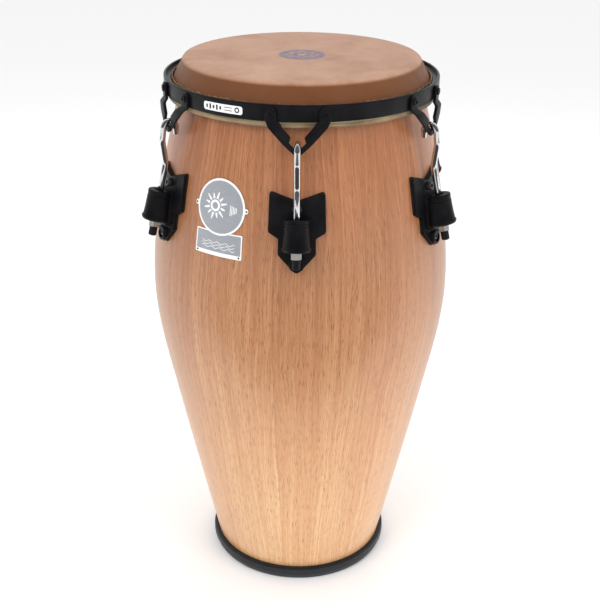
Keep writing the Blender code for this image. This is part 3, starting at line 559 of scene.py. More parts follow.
def metal_material(name, colour, roughness, brush, stretch_axis=(1.0, 1.0, 0.04)):
    """Plated or brushed metal with fine scratches."""
    material = plain_material(name, colour, roughness, 1.0)
    graph = Graph(material)
    lines = graph.noise(graph.scaled(graph.object, stretch_axis), 2600.0, 2.0)
    smudge = graph.noise(graph.object, 90.0, 3.0)
    duller = tuple(channel * 0.78 for channel in colour)
    graph.colour(graph.mix(graph.stretch(smudge, 0.45, 0.75, 0.0, 0.5), colour, duller))
    graph.roughness(graph.stretch(lines, 0.3, 0.7, roughness * 0.8, roughness * 1.5))
    graph.bump((lines, brush, 0.00008))
    return material


def enamel_material(name, colour, metallic, roughness):
    """Printed or enamelled sheet: even colour with faint orange peel and brushing."""
    material = plain_material(name, colour, roughness, metallic)
    graph = Graph(material)
    sheen = graph.noise(graph.scaled(graph.object, (60.0, 60.0, 900.0)), 1.0, 2.0)
    peel = graph.noise(graph.object, 240.0, 2.0)
    duller = tuple(channel * 0.88 for channel in colour)
    graph.colour(graph.mix(graph.stretch(sheen, 0.3, 0.7, 0.0, 0.8), colour, duller))
    graph.roughness(graph.stretch(peel, 0.3, 0.7, roughness * 0.85, roughness * 1.25))
    graph.bump((peel, 0.06, 0.0002))
    return material


# ---- Mesh building ----

def turn_angles(segments):
    """Evenly spaced angles round a circle."""
    return [2 * math.pi * index / segments for index in range(segments)]


def round_z(radius, angle, height):
    """A place at a radius and height, turned from -Y round Z."""
    return (radius * math.sin(angle), -radius * math.cos(angle), height)


def circle(radius, height, segments):
    """A level circle of places round Z."""
    return [round_z(radius, angle, height) for angle in turn_angles(segments)]


def rectangle(left, low, right, high):
    """Corners of a rectangle, anticlockwise."""
    return [(left, low), (right, low), (right, high), (left, high)]


def baked(bm, name):
    """A mesh holding what a bmesh held."""
    mesh = bpy.data.meshes.new(name)
    bm.to_mesh(mesh)
    bm.free()
    return mesh


def cut_across(bm, place, normal):
    """Divide every face that a plane crosses."""
    whole = bm.verts[:] + bm.edges[:] + bm.faces[:]
    bmesh.ops.bisect_plane(bm, geom=whole, plane_co=place, plane_no=normal)


def mesh_from(bm, name, angle=38.0):
    """Finish a bmesh with outward faces and smooth shading below an angle."""
    bmesh.ops.recalc_face_normals(bm, faces=bm.faces)
    mesh = baked(bm, name)
    mesh.shade_smooth()
    mesh.set_sharp_from_angle(angle=math.radians(angle))
    return mesh


def ring_mesh(name, rings, closed=True, angle=38.0):
    """Skin equal vertex rings; a row that isn't closed gets end caps."""
    bm = bmesh.new()
    loops = [[bm.verts.new(point) for point in ring] for ring in rings]
    pairs = list(zip(loops, loops[1:]))
    if closed:
        pairs.append((loops[-1], loops[0]))
    else:
        bm.faces.new(loops[0])
        bm.faces.new(loops[-1])
    for first, second in pairs:
        for index in range(len(first)):
            after = (index + 1) % len(first)
            bm.faces.new((first[index], first[after], second[after], second[index]))
    return mesh_from(bm, name, angle)


def turned(name, profile, segments, closed=True, angle=38.0):
    """Turn a (radius, height) profile round Z."""
    rings = [circle(radius, height, segments) for radius, height in profile]
    return ring_mesh(name, rings, closed, angle)


def filleted(points, radii, steps=4, closed=True):
    """Round a polyline's corners; radii is one number or one per corner."""
    if not isinstance(radii, (list, tuple)):
        radii = [radii] * len(points)
    count = len(points)
    result = []
    for index, radius in enumerate(radii):
        point = Vector(points[index])
        if radius <= 0 or (not closed and index in (0, count - 1)):
            result.append(tuple(point))
            continue
        before = Vector(points[index - 1]) - point
        after = Vector(points[(index + 1) % count]) - point
        half = before.angle(after) / 2
        if half > math.radians(88):
            result.append(tuple(point))
            continue
        reach = min(radius / math.tan(half), before.length * 0.48, after.length * 0.48)
        start = point + before.normalized() * reach
        end = point + after.normalized() * reach
        for step in range(steps + 1):
            share = step / steps
            low = start.lerp(point, share)
            high = point.lerp(end, share)
            result.append(tuple(low.lerp(high, share)))
    return result


def arc_points(centre, radius, start, end, steps):
    """Points on an arc, in degrees anticlockwise from the first axis."""
    points = []
    for index in range(steps + 1):
        angle = math.radians(start + (end - start) * index / steps)
        points.append((centre[0] + radius * math.cos(angle), centre[1] + radius * math.sin(angle)))
    return points


def merged(name, meshes):
    """One mesh from several."""
    bm = bmesh.new()
    for mesh, matrix in meshes:
        mesh.transform(matrix)
        bm.from_mesh(mesh)
        bpy.data.meshes.remove(mesh)
    return baked(bm, name)


def hermite(low, high, height):
    """Radius at a height between two (height, radius, slope) stations."""
    span = high[0] - low[0]
    share = (height - low[0]) / span
    square = share * share
    cube = square * share
    return ((2 * cube - 3 * square + 1) * low[1] + (cube - 2 * square + share) * span * low[2]
            + (3 * square - 2 * cube) * high[1] + (cube - square) * span * high[2])


def shell_radius(height):
    """Outer radius of the wooden shell at a height."""
    for low, high in zip(SHELL_STATIONS, SHELL_STATIONS[1:]):
        if height <= high[0]:
            return hermite(low, high, height)
    return SHELL_STATIONS[-1][1]


EYE_SHELL_RADIUS = shell_radius(EYE_POINT.y)


def lug_point(t, height, offset):
    """A place on the shell at lug 1: sideways distance, height, distance off the wood."""
    radius = shell_radius(height) + offset
    return Vector(round_z(radius, t / EYE_SHELL_RADIUS, height))


def bent_slab(name, outline, inner, outer, bevel, grid=0.005):
    """A plate with a rounded outer rim, bent to the shell between two offsets."""
    bm = bmesh.new()
    face = bm.faces.new([bm.verts.new((t, inner, z)) for t, z in outline])
    solid = bmesh.ops.extrude_face_region(bm, geom=[face])
    lifted = [item for item in solid["geom"] if isinstance(item, bmesh.types.BMVert)]
    for vertex in lifted:
        vertex.co.y = outer
    if bevel > 0:
        rim = [edge for edge in bm.edges if all(vertex.co.y == outer for vertex in edge.verts)]
        bmesh.ops.bevel(bm, geom=rim, offset=bevel, segments=3, profile=0.5, affect="EDGES")
    for axis in (0, 2):
        low = min(vertex.co[axis] for vertex in bm.verts)
        high = max(vertex.co[axis] for vertex in bm.verts)
        normal = Vector((0, 0, 0))
        normal[axis] = 1
        count = int((high - low) / grid)
        for index in range(1, count + 1):
            place = normal * (low + (high - low) * (index + 0.137) / (count + 1))
            cut_across(bm, place, normal)
    bmesh.ops.triangulate(bm, faces=[face for face in bm.faces if len(face.verts) > 4])
    for vertex in bm.verts:
        vertex.co = lug_point(vertex.co.x, vertex.co.z, vertex.co.y)
    return mesh_from(bm, name, 30.0)


def socket_head(name, radius, base, top, socket):
    """A round screw head with a rounded shoulder and a hexagon socket, on Z."""
    segments = 36
    shoulder = (top - base) * 0.45
    profile = filleted([(radius, base), (radius, top), (socket, top)],
                       [0, shoulder, 0], closed=False)
    rings = [circle(reach, height, segments) for reach, height in profile[:-1]]
    for depth, scale in ((0.0, 1.0), ((top - base) * 0.6, 0.98)):
        rings.append([round_z(hexagon(angle, socket) * scale, angle, top - depth)
                      for angle in turn_angles(segments)])
    return ring_mesh(name, rings, closed=False, angle=30.0)


def hexagon(angle, flat):
    """Distance from the centre to a hexagon's side, flat being its inner radius."""
    sixth = math.pi / 3
    return flat / math.cos((angle + sixth / 2) % sixth - sixth / 2)


# ---- Putting pieces in place ----

def add_piece(name, mesh, materials, body, node=None, matrix=None):
    """Link a piece, ride it on its body and let it stand for its CAD node."""
    piece = linked(name, mesh)
    if not mesh.materials:
        for material in materials:
            mesh.materials.append(material)
    if matrix is not None:
        piece.matrix_world = matrix
        bpy.context.view_layer.update()
    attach(piece, body)
    if node:
        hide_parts(node)
    return piece


def station_matrix(number):
    """Turn from lug 1 to another lug."""
    return Matrix.Rotation(math.radians(360 / LUG_COUNT * number), 4, "Z")


def rod_matrix():
    """Frame at the eye of lug 1 with +Z up the rod's shank."""
    place = Matrix.Translation((0, -EYE_POINT.x, EYE_POINT.y))
    return place @ Matrix.Rotation(-ROD_TILT, 4, "X")


def bolt_matrix(height):
    """Frame on the shell at lug 1 with +Z pointing straight out of the wood."""
    step = 0.001
    slope = (shell_radius(height + step) - shell_radius(height - step)) / (2 * step)
    place = Matrix.Translation(lug_point(0.0, height, 0.0))
    return place @ Matrix.Rotation(math.pi / 2 + math.atan(slope), 4, "X")


# ---- Drum ----

def add_shell(lacquer, raw):
    """Staved shell, lacquered outside and raw inside."""
    bottom = FOOT_BOX[0][2] + FOOT_LIP + FIT
    count = 110
    heights = [bottom + (SHELL_TOP - 0.006 - bottom) * index / count for index in range(count + 1)]
    outside = [(shell_radius(height), height) for height in heights]
    edge = filleted([
        outside[-1], (shell_radius(SHELL_TOP) - 0.0004, SHELL_TOP),
        (shell_radius(SHELL_TOP) - WALL + 0.003, SHELL_TOP),
        (shell_radius(heights[-1]) - WALL, heights[-1])], [0, 0.004, 0.002, 0], closed=False)
    inside = [(r - WALL, z) for r, z in reversed(outside[:-1])]
    mesh = turned("shell_wood", outside + edge[1:] + inside, 180)
    mesh.materials.append(lacquer)
    mesh.materials.append(raw)
    for face in mesh.polygons:
        centre = face.center
        middle = shell_radius(centre.z) - WALL / 2
        if math.hypot(centre.x, centre.y) < middle:
            face.material_index = 1
    add_piece("shell_wood", mesh, [], "drum", "shell")


def add_foot(material):
    """Moulded rubber ring under the shell."""
    outer = FOOT_BOX[1][0]
    top = FOOT_BOX[1][2]
    inner = outer - FOOT_WIDTH
    profile = [
        (inner, 0.0), (outer - FOOT_TAPER, 0.0), (outer, FOOT_TAPER_HEIGHT), (outer, top),
        (shell_radius(top) + GAP, top), (shell_radius(FOOT_LIP) + GAP, FOOT_LIP),
        (inner, FOOT_LIP),
    ]
    rounded = filleted(profile, [0.0008, 0.0035, 0.006, 0.0035, 0.0006, 0, 0.0008], 5)
    mesh = turned("foot_ring", rounded, 144)
    add_piece("foot_ring", mesh, [material], "drum", "base_ring")


def add_head(material):
    """Skin with a soft crease at the edge and slightly uneven sides."""
    skirt = FLESH_INNER - SLIP
    top = DRUM_HEIGHT
    slope_end = top - HEAD_SLOPE_DROP
    outer = filleted([
        (HEAD_RADIUS - 0.030, top), (HEAD_RADIUS, top), (HEAD_RADIUS + 0.0035, top - 0.007),
        (skirt, slope_end), (skirt, top - HEAD_SKIRT_DROP)], [0, 0.006, 0.012, 0.01, 0], 6,
        closed=False)
    flat = [(r, top) for r in (0.004, 0.03, 0.06, 0.09, 0.115)]
    inner = [(r - SKIN, z - SKIN * 0.4) for r, z in reversed(outer)]
    inner = [(r, max(z, top - HEAD_SKIRT_DROP)) for r, z in inner]
    segments = 180
    rings = []
    for radius, height in flat + outer + inner[:-1]:
        ring = []
        for angle in turn_angles(segments):
            place = Vector((math.sin(angle), -math.cos(angle), height * 3))
            drop = min(max((top - height) / HEAD_SLOPE_DROP, 0.0), 1.0)
            ripple = noise.noise(place * 5) * 0.0007 * drop * (1 - drop) * 4
            ring.append(round_z(radius + ripple, angle, height))
        rings.append(ring)
    mesh = ring_mesh("head_skin", rings, closed=False, angle=60.0)
    add_piece("head_skin", mesh, [material], "drum", "drum_head")


def add_flesh_hoop(material, trim_material):
    """Ring with the hide lapped round it, and the trimmed ends that stand inside the hoop."""
    segments = 300
    middle = (FLESH_INNER + FLESH_OUTER) / 2
    section = rectangle(FLESH_INNER, FLESH_BOTTOM, FLESH_OUTER, FLESH_TOP)
    profile = filleted(section, [0.002, 0.0042, 0.001, 0.001], 5)
    centre = (FLESH_BOTTOM + FLESH_TOP) / 2
    rings = []
    for radius, height in profile:
        ring = []
        for angle in turn_angles(segments):
            around = Vector((math.sin(angle), math.cos(angle), 0)) * 4
            low = max((centre - height) / (centre - FLESH_BOTTOM), 0.0)
            wave = noise.noise(around + Vector((0, 0, 3))) * 0.0011
            wave += noise.noise(around * 5 + Vector((0, 0, 9))) * 0.0004
            dent = noise.noise(around * 3 + Vector((0, 0, height * 90))) * 0.0004
            reach = radius - (0.0004 - dent if radius > middle else 0.0)
            ring.append(round_z(reach, angle, height + low * (0.0008 + wave)))
        rings.append(ring)
    mesh = ring_mesh("flesh_hoop_skin", rings, angle=60.0)
    add_piece("flesh_hoop_skin", mesh, [material], "rim", "flesh_hoop")
    low = FLESH_TOP - 0.004
    inner = FLESH_INNER + 0.0002
    rings = []
    for radius, lift in ((inner, 0.0), (inner, 1.0), (inner + 0.0012, 1.0), (inner + 0.0012, 0.0)):
        ring = []
        for angle in turn_angles(segments * 2):
            around = Vector((math.sin(angle), math.cos(angle), 0)) * 9
            tuft = noise.noise(around * 2) * 0.0026 + noise.noise(around * 11) * 0.0020
            height = low + lift * (CROWN_TOP - low + 0.0022 + tuft)
            lean = lift * (noise.noise(around * 6 + Vector((0, 0, 5))) * 0.0006)
            ring.append(round_z(radius + lean, angle, height))
        rings.append(ring)
    mesh = ring_mesh("skin_trim", rings, angle=60.0)
    add_piece("skin_trim", mesh, [trim_material], "rim")


def add_tension_hoop(material):
    """Steel band with rounded edges and an inner crown."""
    corners = [
        (HOOP_INNER, HOOP_BOTTOM), (HOOP_OUTER, HOOP_BOTTOM), (HOOP_OUTER, HOOP_TOP),
        (HOOP_INNER, HOOP_TOP), (HOOP_INNER, CROWN_TOP), (HOOP_INNER - CROWN_REACH, CROWN_TOP),
        (HOOP_INNER - CROWN_REACH, CROWN_BOTTOM), (HOOP_INNER, CROWN_BOTTOM)]
    profile = filleted(corners, [0.0008, 0.0014, 0.0024, 0.0012, 0.001, 0.0008, 0.0008, 0], 5)
    mesh = turned("hoop_band", profile, 240)
    add_piece("hoop_band", mesh, [material], "rim", "tension_hoop")


def add_label(white, dark):
    """Generic sticker on the hoop: a white strip with bars and a ring, no lettering."""
    middle = (HOOP_BOTTOM + HOOP_TOP) / 2 - 0.0004
    start = math.radians(LABEL_ANGLES[0]) * HOOP_OUTER
    end = math.radians(LABEL_ANGLES[1]) * HOOP_OUTER
    half = LABEL_HALF_HEIGHT
    strip = filleted(rectangle(start, -half, end, half), 0.0035, 6)
    add_decal("hoop_label", strip, 0.00012, middle, white)
    bars = []
    for index in range(5):
        left = start + 0.004 + index * 0.0052
        tall = half * (0.62 if index % 2 else 0.40)
        bars.append(rectangle(left, -tall, left + 0.0026, tall))
    long_bar = (start + 0.032, end - 0.0145)
    for level in (-0.0022, 0.0014):
        bars.append(rectangle(long_bar[0], level, long_bar[1], level + 0.0009))
    for index, bar in enumerate(bars):
        add_decal("hoop_label_bar_%d" % (index + 1), bar, 0.00018, middle, dark)
    centre = (end - 0.0075, 0.0)
    add_decal("hoop_label_disc", arc_points(centre, 0.0034, 0, 350, 35), 0.00018, middle, dark)
    add_decal("hoop_label_dot", arc_points(centre, 0.0018, 0, 345, 23), 0.00024, middle, white)


def add_decal(name, outline, lift, middle, material):
    """A thin printed shape on the hoop's face."""
    bm = bmesh.new()
    bm.faces.new([bm.verts.new((t, 0, z)) for t, z in outline])
    for index in range(-60, 60):
        cut_across(bm, (index * 0.0025, 0, 0), (1, 0, 0))
    for vertex in bm.verts:
        angle = vertex.co.x / HOOP_OUTER
        vertex.co = round_z(HOOP_OUTER + lift, angle, middle + vertex.co.z)
    bm.normal_update()
    outward = bm.faces[:][0].normal.dot(bm.faces[:][0].calc_center_median())
    if outward < 0:
        bmesh.ops.reverse_faces(bm, faces=bm.faces)
    mesh = baked(bm, name)
    mesh.shade_smooth()
    add_piece(name, mesh, [material], "rim")


# ---- Lug hardware ----

def shield_outline(margin):
    """Rounded outline of the lug plate."""
    wing = WING_HALF_WIDTH + margin
    body = BODY_HALF_WIDTH + margin
    top = LUG_TOP + margin
    wing_bottom = LUG_TOP - WING_HEIGHT - margin / 2
    step_bottom = wing_bottom - STEP_HEIGHT
    body_bottom = step_bottom - BODY_HEIGHT
    bottom = LUG_BOTTOM - margin
    right = [(body, body_bottom), (body, step_bottom), (wing, wing_bottom), (wing, top)]
    left = [(-t, z) for t, z in reversed(right)]
    points = [(0.0, bottom - 0.001)] + right + [(0.0, top - PLATE_NOTCH)] + left
    radii = [0.0060, 0.0040, 0.0025, 0.0035, 0.0042, 0.0060, 0.0042, 0.0035, 0.0025, 0.0040]
    return filleted(points, radii, 5)


def pad_outline():
    """Raised pad behind the sleeve."""
    top = LUG_TOP - PAD_TOP_DROP
    half = PAD_HALF_WIDTH
    low = LUG_BOTTOM + POINT_HEIGHT + 0.002
    points = [
        (-half * 0.7, low), (half * 0.7, low), (half, low + 0.006), (half, top), (-half, top),
        (-half, low + 0.006)]
    return filleted(points, [0.003, 0.003, 0.004, 0.008, 0.008, 0.004], 5)


def nose_mesh():
    """Boss round the lower bolt, open at its face."""
    upper_height = LUG_BOTTOM + NOSE_RISE + NOSE_HEIGHT
    height = BOLT_HEIGHTS[1]
    half = NOSE_HALF_WIDTH
    outline = arc_points((0.0, height), half, 180, 360, 24)
    outline += filleted([(half, height), (half, upper_height), (-half, upper_height),
                         (-half, height)], [0, 0.003, 0.003, 0], 5, closed=False)[1:-1]
    angles = [math.atan2(z - height, t) for t, z in outline]
    bore = NOSE_BOLT_HEAD_RADIUS + 0.0012
    top = PLATE_FACE + NOSE
    bevel = 0.0014
    rings = []
    for shrink, depth in ((0, PLATE_BACK + 0.002), (0, top - bevel), (0.3, top - 0.3 * bevel),
                          (1.0, top)):
        share = 1 - shrink * bevel / half
        rings.append([lug_point(t * share, height + (z - height) * share, depth)
                      for t, z in outline])
    for reach, depth in ((bore + 0.0006, top), (bore, top - 0.0006),
                         (bore, PLATE_BACK + NOSE_FLOOR)):
        rings.append([lug_point(reach * math.cos(angle), height + reach * math.sin(angle), depth)
                      for angle in angles])
    return ring_mesh("lug_nose", rings, closed=False, angle=40.0)


def plate_mesh():
    """Cast lug plate: shield, pad, nose boss and the eye in the sleeve's groove."""
    still = Matrix.Identity(4)
    shield = bent_slab("shield", shield_outline(0.0), PLATE_BACK, PLATE_FACE, 0.0011)
    pad = bent_slab("pad", pad_outline(), PLATE_BACK + 0.002, PLATE_FACE + PAD, 0.0016)
    core = SLEEVE_RADIUS - SLEEVE_GROOVE_DEPTH + FIT
    half = SLEEVE_GROOVE / 2 - FIT
    eye = turned("eye", filleted(rectangle(core, -half, EYE_RADIUS, half),
                                 [0, 0.0004, 0.0004, 0], 2), 48)
    return merged("lug_plate", [(shield, still), (pad, still), (nose_mesh(), still),
                                (eye, rod_matrix())])


def sleeve_mesh():
    """Moulded rubber sleeve: domed lid, groove, body and flared foot."""
    foot = SLEEVE_TOP - SLEEVE_LENGTH
    core = SLEEVE_RADIUS - SLEEVE_GROOVE_DEPTH
    groove = SLEEVE_GROOVE / 2
    corners = [
        (SLEEVE_BORE, foot), (SLEEVE_FLARE - 0.0015, foot), (SLEEVE_FLARE, foot + 0.0035),
        (SLEEVE_RADIUS + 0.0012, foot + 0.0060), (SLEEVE_RADIUS + 0.0006, foot + 0.0120),
        (SLEEVE_RADIUS, -groove - 0.0060), (SLEEVE_RADIUS, -groove), (core, -groove),
        (core, groove), (SLEEVE_RADIUS, groove), (SLEEVE_RADIUS, SLEEVE_TOP),
        (SLEEVE_BORE + 0.0030, SLEEVE_TOP), (SLEEVE_BORE, SLEEVE_TOP - 0.0012)]
    radii = [0.0006, 0.0012, 0.0012, 0.0020, 0.004, 0.004, 0.0009, 0.0005, 0.0005, 0.0009,
             0.0022, 0.001, 0.0006]
    return turned("lug_sleeve", filleted(corners, radii, 5), 64, angle=50.0)


def bolt_mesh(name, seat, radius, socket):
    """Lug bolt: socket head outside, shank, washer and nut inside the shell."""
    top = seat + BOLT_HEAD_HEIGHT
    head = socket_head(name, radius, seat, top, socket)
    inside = -WALL - WASHER_STAND_OFF
    section = rectangle(BOLT_RADIUS, inside - WASHER_THICKNESS, WASHER_RADIUS, inside)
    washer = turned("washer", filleted(section, [0, 0.0004, 0.0004, 0], 2), 40)
    shank = turned("shank", [(BOLT_RADIUS, inside - 0.006), (BOLT_RADIUS, seat + 0.0002)], 24,
                   closed=False)
    nut = hexagon_nut("inner_nut", 0.0050, BOLT_RADIUS, inside - 0.0065,
                      inside - WASHER_THICKNESS)
    still = Matrix.Identity(4)
    return merged(name, [(head, still), (washer, still), (shank, still), (nut, still)])


def hexagon_nut(name, flat, bore, low, high):
    """Hexagon nut with chamfered corners and a countersunk bore."""
    segments = 72
    chamfer = math.tan(math.radians(28))
    sink = 0.0006
    face = flat * 0.95

    def crown(sign, height):
        ring = []
        for angle in turn_angles(segments):
            reach = hexagon(angle, flat)
            drop = max(reach - flat * 0.98, 0) * chamfer
            ring.append(round_z(reach, angle, height - sign * drop))
        return ring

    rings = [circle(*level, segments) for level in (
        (bore, low + sink), (bore + sink, low), (face, low))]
    rings += [crown(-1, low), crown(1, high)]
    rings += [circle(*level, segments) for level in (
        (face, high), (bore + sink, high), (bore, high - sink))]
    return ring_mesh(name, rings, angle=22.0)


def cap_mesh():
    """Rubber cap with a rolled lip and a round end."""
    bore = ROD_RADIUS + FIT
    corners = [
        (bore, -CAP_CRUSH - FIT), (bore, 0.0), (CAP_RADIUS, 0.0), (CAP_RADIUS - 0.0003, -0.0022),
        (CAP_RADIUS - 0.0003, -CAP_LENGTH), (0.0006, -CAP_LENGTH)]
    profile = filleted(corners, [0, 0.0004, 0.0006, 0.001, 0.0036, 0], 5, closed=False)
    return turned("rod_cap", profile, 40, closed=False, angle=50.0)


def rod_mesh():
    """Bent rod with its hook, knee and bend, and a rolled thread on the lower end."""
    hook = (YOKE_TIP_RADIUS - HOOK_INSET, SEAT_HEIGHT - HOOK_DROP)
    leg_end = (hook[0] - HOOK_RADIUS, hook[1] - HOOK_LEG)
    knee = (YOKE_TIP_RADIUS + KNEE_OUT, SEAT_HEIGHT - KNEE_DROP)
    bend = Vector((YOKE_TIP_RADIUS + BEND_OUT, SEAT_HEIGHT - BEND_DROP))
    shank = (EYE_POINT - bend).length - CAP_TOP + CAP_CRUSH
    tail = Matrix.Rotation(ROD_TILT, 2) @ Vector((0.0, -shank))
    lead = [(hook[0] + HOOK_RADIUS, hook[1]), knee, tuple(bend), tuple(bend + tail)]
    smooth = filleted(lead, [0, 0.022, 0.030, 0], 10, closed=False)
    path = [leg_end] + arc_points(hook, HOOK_RADIUS, 180, 0, 24) + smooth[1:]
    to_shank = Matrix.Rotation(-ROD_TILT, 2)
    local = [to_shank @ (Vector(point) - EYE_POINT) for point in path]
    threaded = []
    start, end = local[-2], local[-1]
    length = (end - start).length
    first = length - THREAD_LENGTH
    steps = int(THREAD_LENGTH / (THREAD_PITCH / 4))
    for index in range(steps):
        threaded.append(start.lerp(end, (first + THREAD_LENGTH * index / steps) / length))
    local = local[:-1] + threaded + [end]
    plain_count = len(path) - 1
    rings = []
    travelled = 0.0
    for index, point in enumerate(local):
        before = local[max(index - 1, 0)]
        after = local[min(index + 1, len(local) - 1)]
        if index > plain_count:
            travelled += (point - before).length
        along = (after - before).normalized()
        across = Vector((along.y, -along.x))
        ring = []
        for angle in turn_angles(24):
            radius = ROD_RADIUS
            if plain_count < index < len(local) - 2:
                phase = (travelled / THREAD_PITCH + angle / (2 * math.pi)) % 1.0
                radius -= THREAD_DEPTH * abs(phase * 2 - 1)
            flat = point + across * (radius * math.cos(angle))
            ring.append((radius * math.sin(angle), -flat.x, flat.y))
        rings.append(ring)
    rings[0] = shrunk(rings[0], 0.8)
    return ring_mesh("tuning_rod", rings, closed=False, angle=45.0)


def shrunk(ring, share):
    """A ring drawn in towards its centre."""
    centre = sum((Vector(point) for point in ring), Vector()) / len(ring)
    return [centre.lerp(Vector(point), share) for point in ring]


# ---- Yokes ----

def yoke_back_radius(height):
    """Radius of the yoke plate's back, eased between its levels."""
    tip = YOKE_TIP_RADIUS - YOKE_PLATE / 2
    levels = (
        (SEAT_HEIGHT, tip),
        (HOOP_BOTTOM - YOKE_SEAT_DROP / 2, tip - 0.0010),
        (HOOP_BOTTOM - YOKE_SEAT_DROP / 6, HOOP_OUTER + 0.55 * YOKE_STAND_OUT),
        (HOOP_BOTTOM - GAP, HOOP_OUTER + GAP),
    )
    for low, high in zip(levels, levels[1:]):
        if height <= high[0]:
            share = max((height - low[0]) / (high[0] - low[0]), 0.0)
            return low[1] + (high[1] - low[1]) * share
    return levels[-1][1]


def yoke_point(t, height, depth):
    """A place on the bent yoke plate, depth measured from its back."""
    radius = yoke_back_radius(height) + depth
    return Vector(round_z(radius, t / HOOP_OUTER, height))


def yoke_half_path():
    """Pairs of (inner edge, outer edge) from the seat up one arm to the top of the ear."""
    left = YOKE_SCREW_SPREAD - EAR_HALF_WIDTH
    right = YOKE_SCREW_SPREAD + EAR_HALF_WIDTH
    corners = [(0.0, SEAT_HEIGHT, 0.0, TIP_HEIGHT)]
    corners.append((ROD_RADIUS, SEAT_HEIGHT, ROD_RADIUS, TIP_HEIGHT + YOKE_EDGE))
    for (inner, inner_drop), (outer, outer_drop) in YOKE_ARM:
        corners.append((
            inner * YOKE_SCREW_SPREAD, HOOP_BOTTOM - inner_drop * YOKE_SEAT_DROP,
            outer * YOKE_SCREW_SPREAD, HOOP_BOTTOM - outer_drop * YOKE_SEAT_DROP))
    low = HOOP_BOTTOM + YOKE_EDGE
    corners.append((left, low, right, low))
    corners.append((left, YOKE_SCREW_HEIGHT, right, YOKE_SCREW_HEIGHT))
    path = []
    for first, second in zip(corners, corners[1:]):
        for step in range(5):
            share = step / 5
            path.append([a + (b - a) * share for a, b in zip(first, second)])
    for step in range(0, 9):
        angle = math.radians(step * 9.5)
        across = EAR_HALF_WIDTH * math.cos(angle)
        rise = YOKE_SCREW_HEIGHT + EAR_HALF_WIDTH * 1.1 * math.sin(angle)
        path.append([YOKE_SCREW_SPREAD - across, rise, YOKE_SCREW_SPREAD + across, rise])
    smooth = [path[0]]
    for before, here, after in zip(path, path[1:], path[2:]):
        smooth.append([(a + 2 * b + c) / 4 for a, b, c in zip(before, here, after)])
    return smooth + [path[-1]]


def yoke_section(row, side):
    """Rounded section of the plate between its two edges."""
    inner = Vector(row[:2])
    outer = Vector(row[2:])
    width = (outer - inner).length
    edge = min(YOKE_EDGE * 0.8, width * 0.4)
    shape = filleted(rectangle(0, 0, width, YOKE_PLATE), edge, 3)
    along = (outer - inner) / max(width, 1e-6)
    ring = []
    for reach, depth in shape:
        flat = inner + along * reach
        ring.append(yoke_point(side * flat.x, flat.y, depth))
    return ring


def yoke_mesh():
    """V-shaped yoke with rounded ears and two socket screws."""
    half = yoke_half_path()
    rings = [yoke_section(row, -1) for row in reversed(half[1:])]
    rings += [yoke_section(row, 1) for row in half]
    plate = ring_mesh("yoke_plate", rings, closed=False, angle=35.0)
    parts = [(plate, Matrix.Identity(4))]
    base = GAP + YOKE_PLATE
    for side in (-1, 1):
        spin = Matrix.Rotation(side * YOKE_SCREW_SPREAD / HOOP_OUTER, 4, "Z")
        place = Matrix.Translation((0, -HOOP_OUTER, YOKE_SCREW_HEIGHT))
        matrix = spin @ place @ Matrix.Rotation(math.pi / 2, 4, "X")
        head = socket_head("yoke_screw", 0.0048, base - 0.0005, base + 0.0019, 0.0019)
        shank = turned("yoke_shank", [(0.0022, -HOOP_WALL - 0.0001), (0.0022, base)], 20,
                       closed=False)
        parts += [(head, matrix), (shank, matrix.copy())]
    return merged("hoop_yoke", parts)


# ---- Badge ----

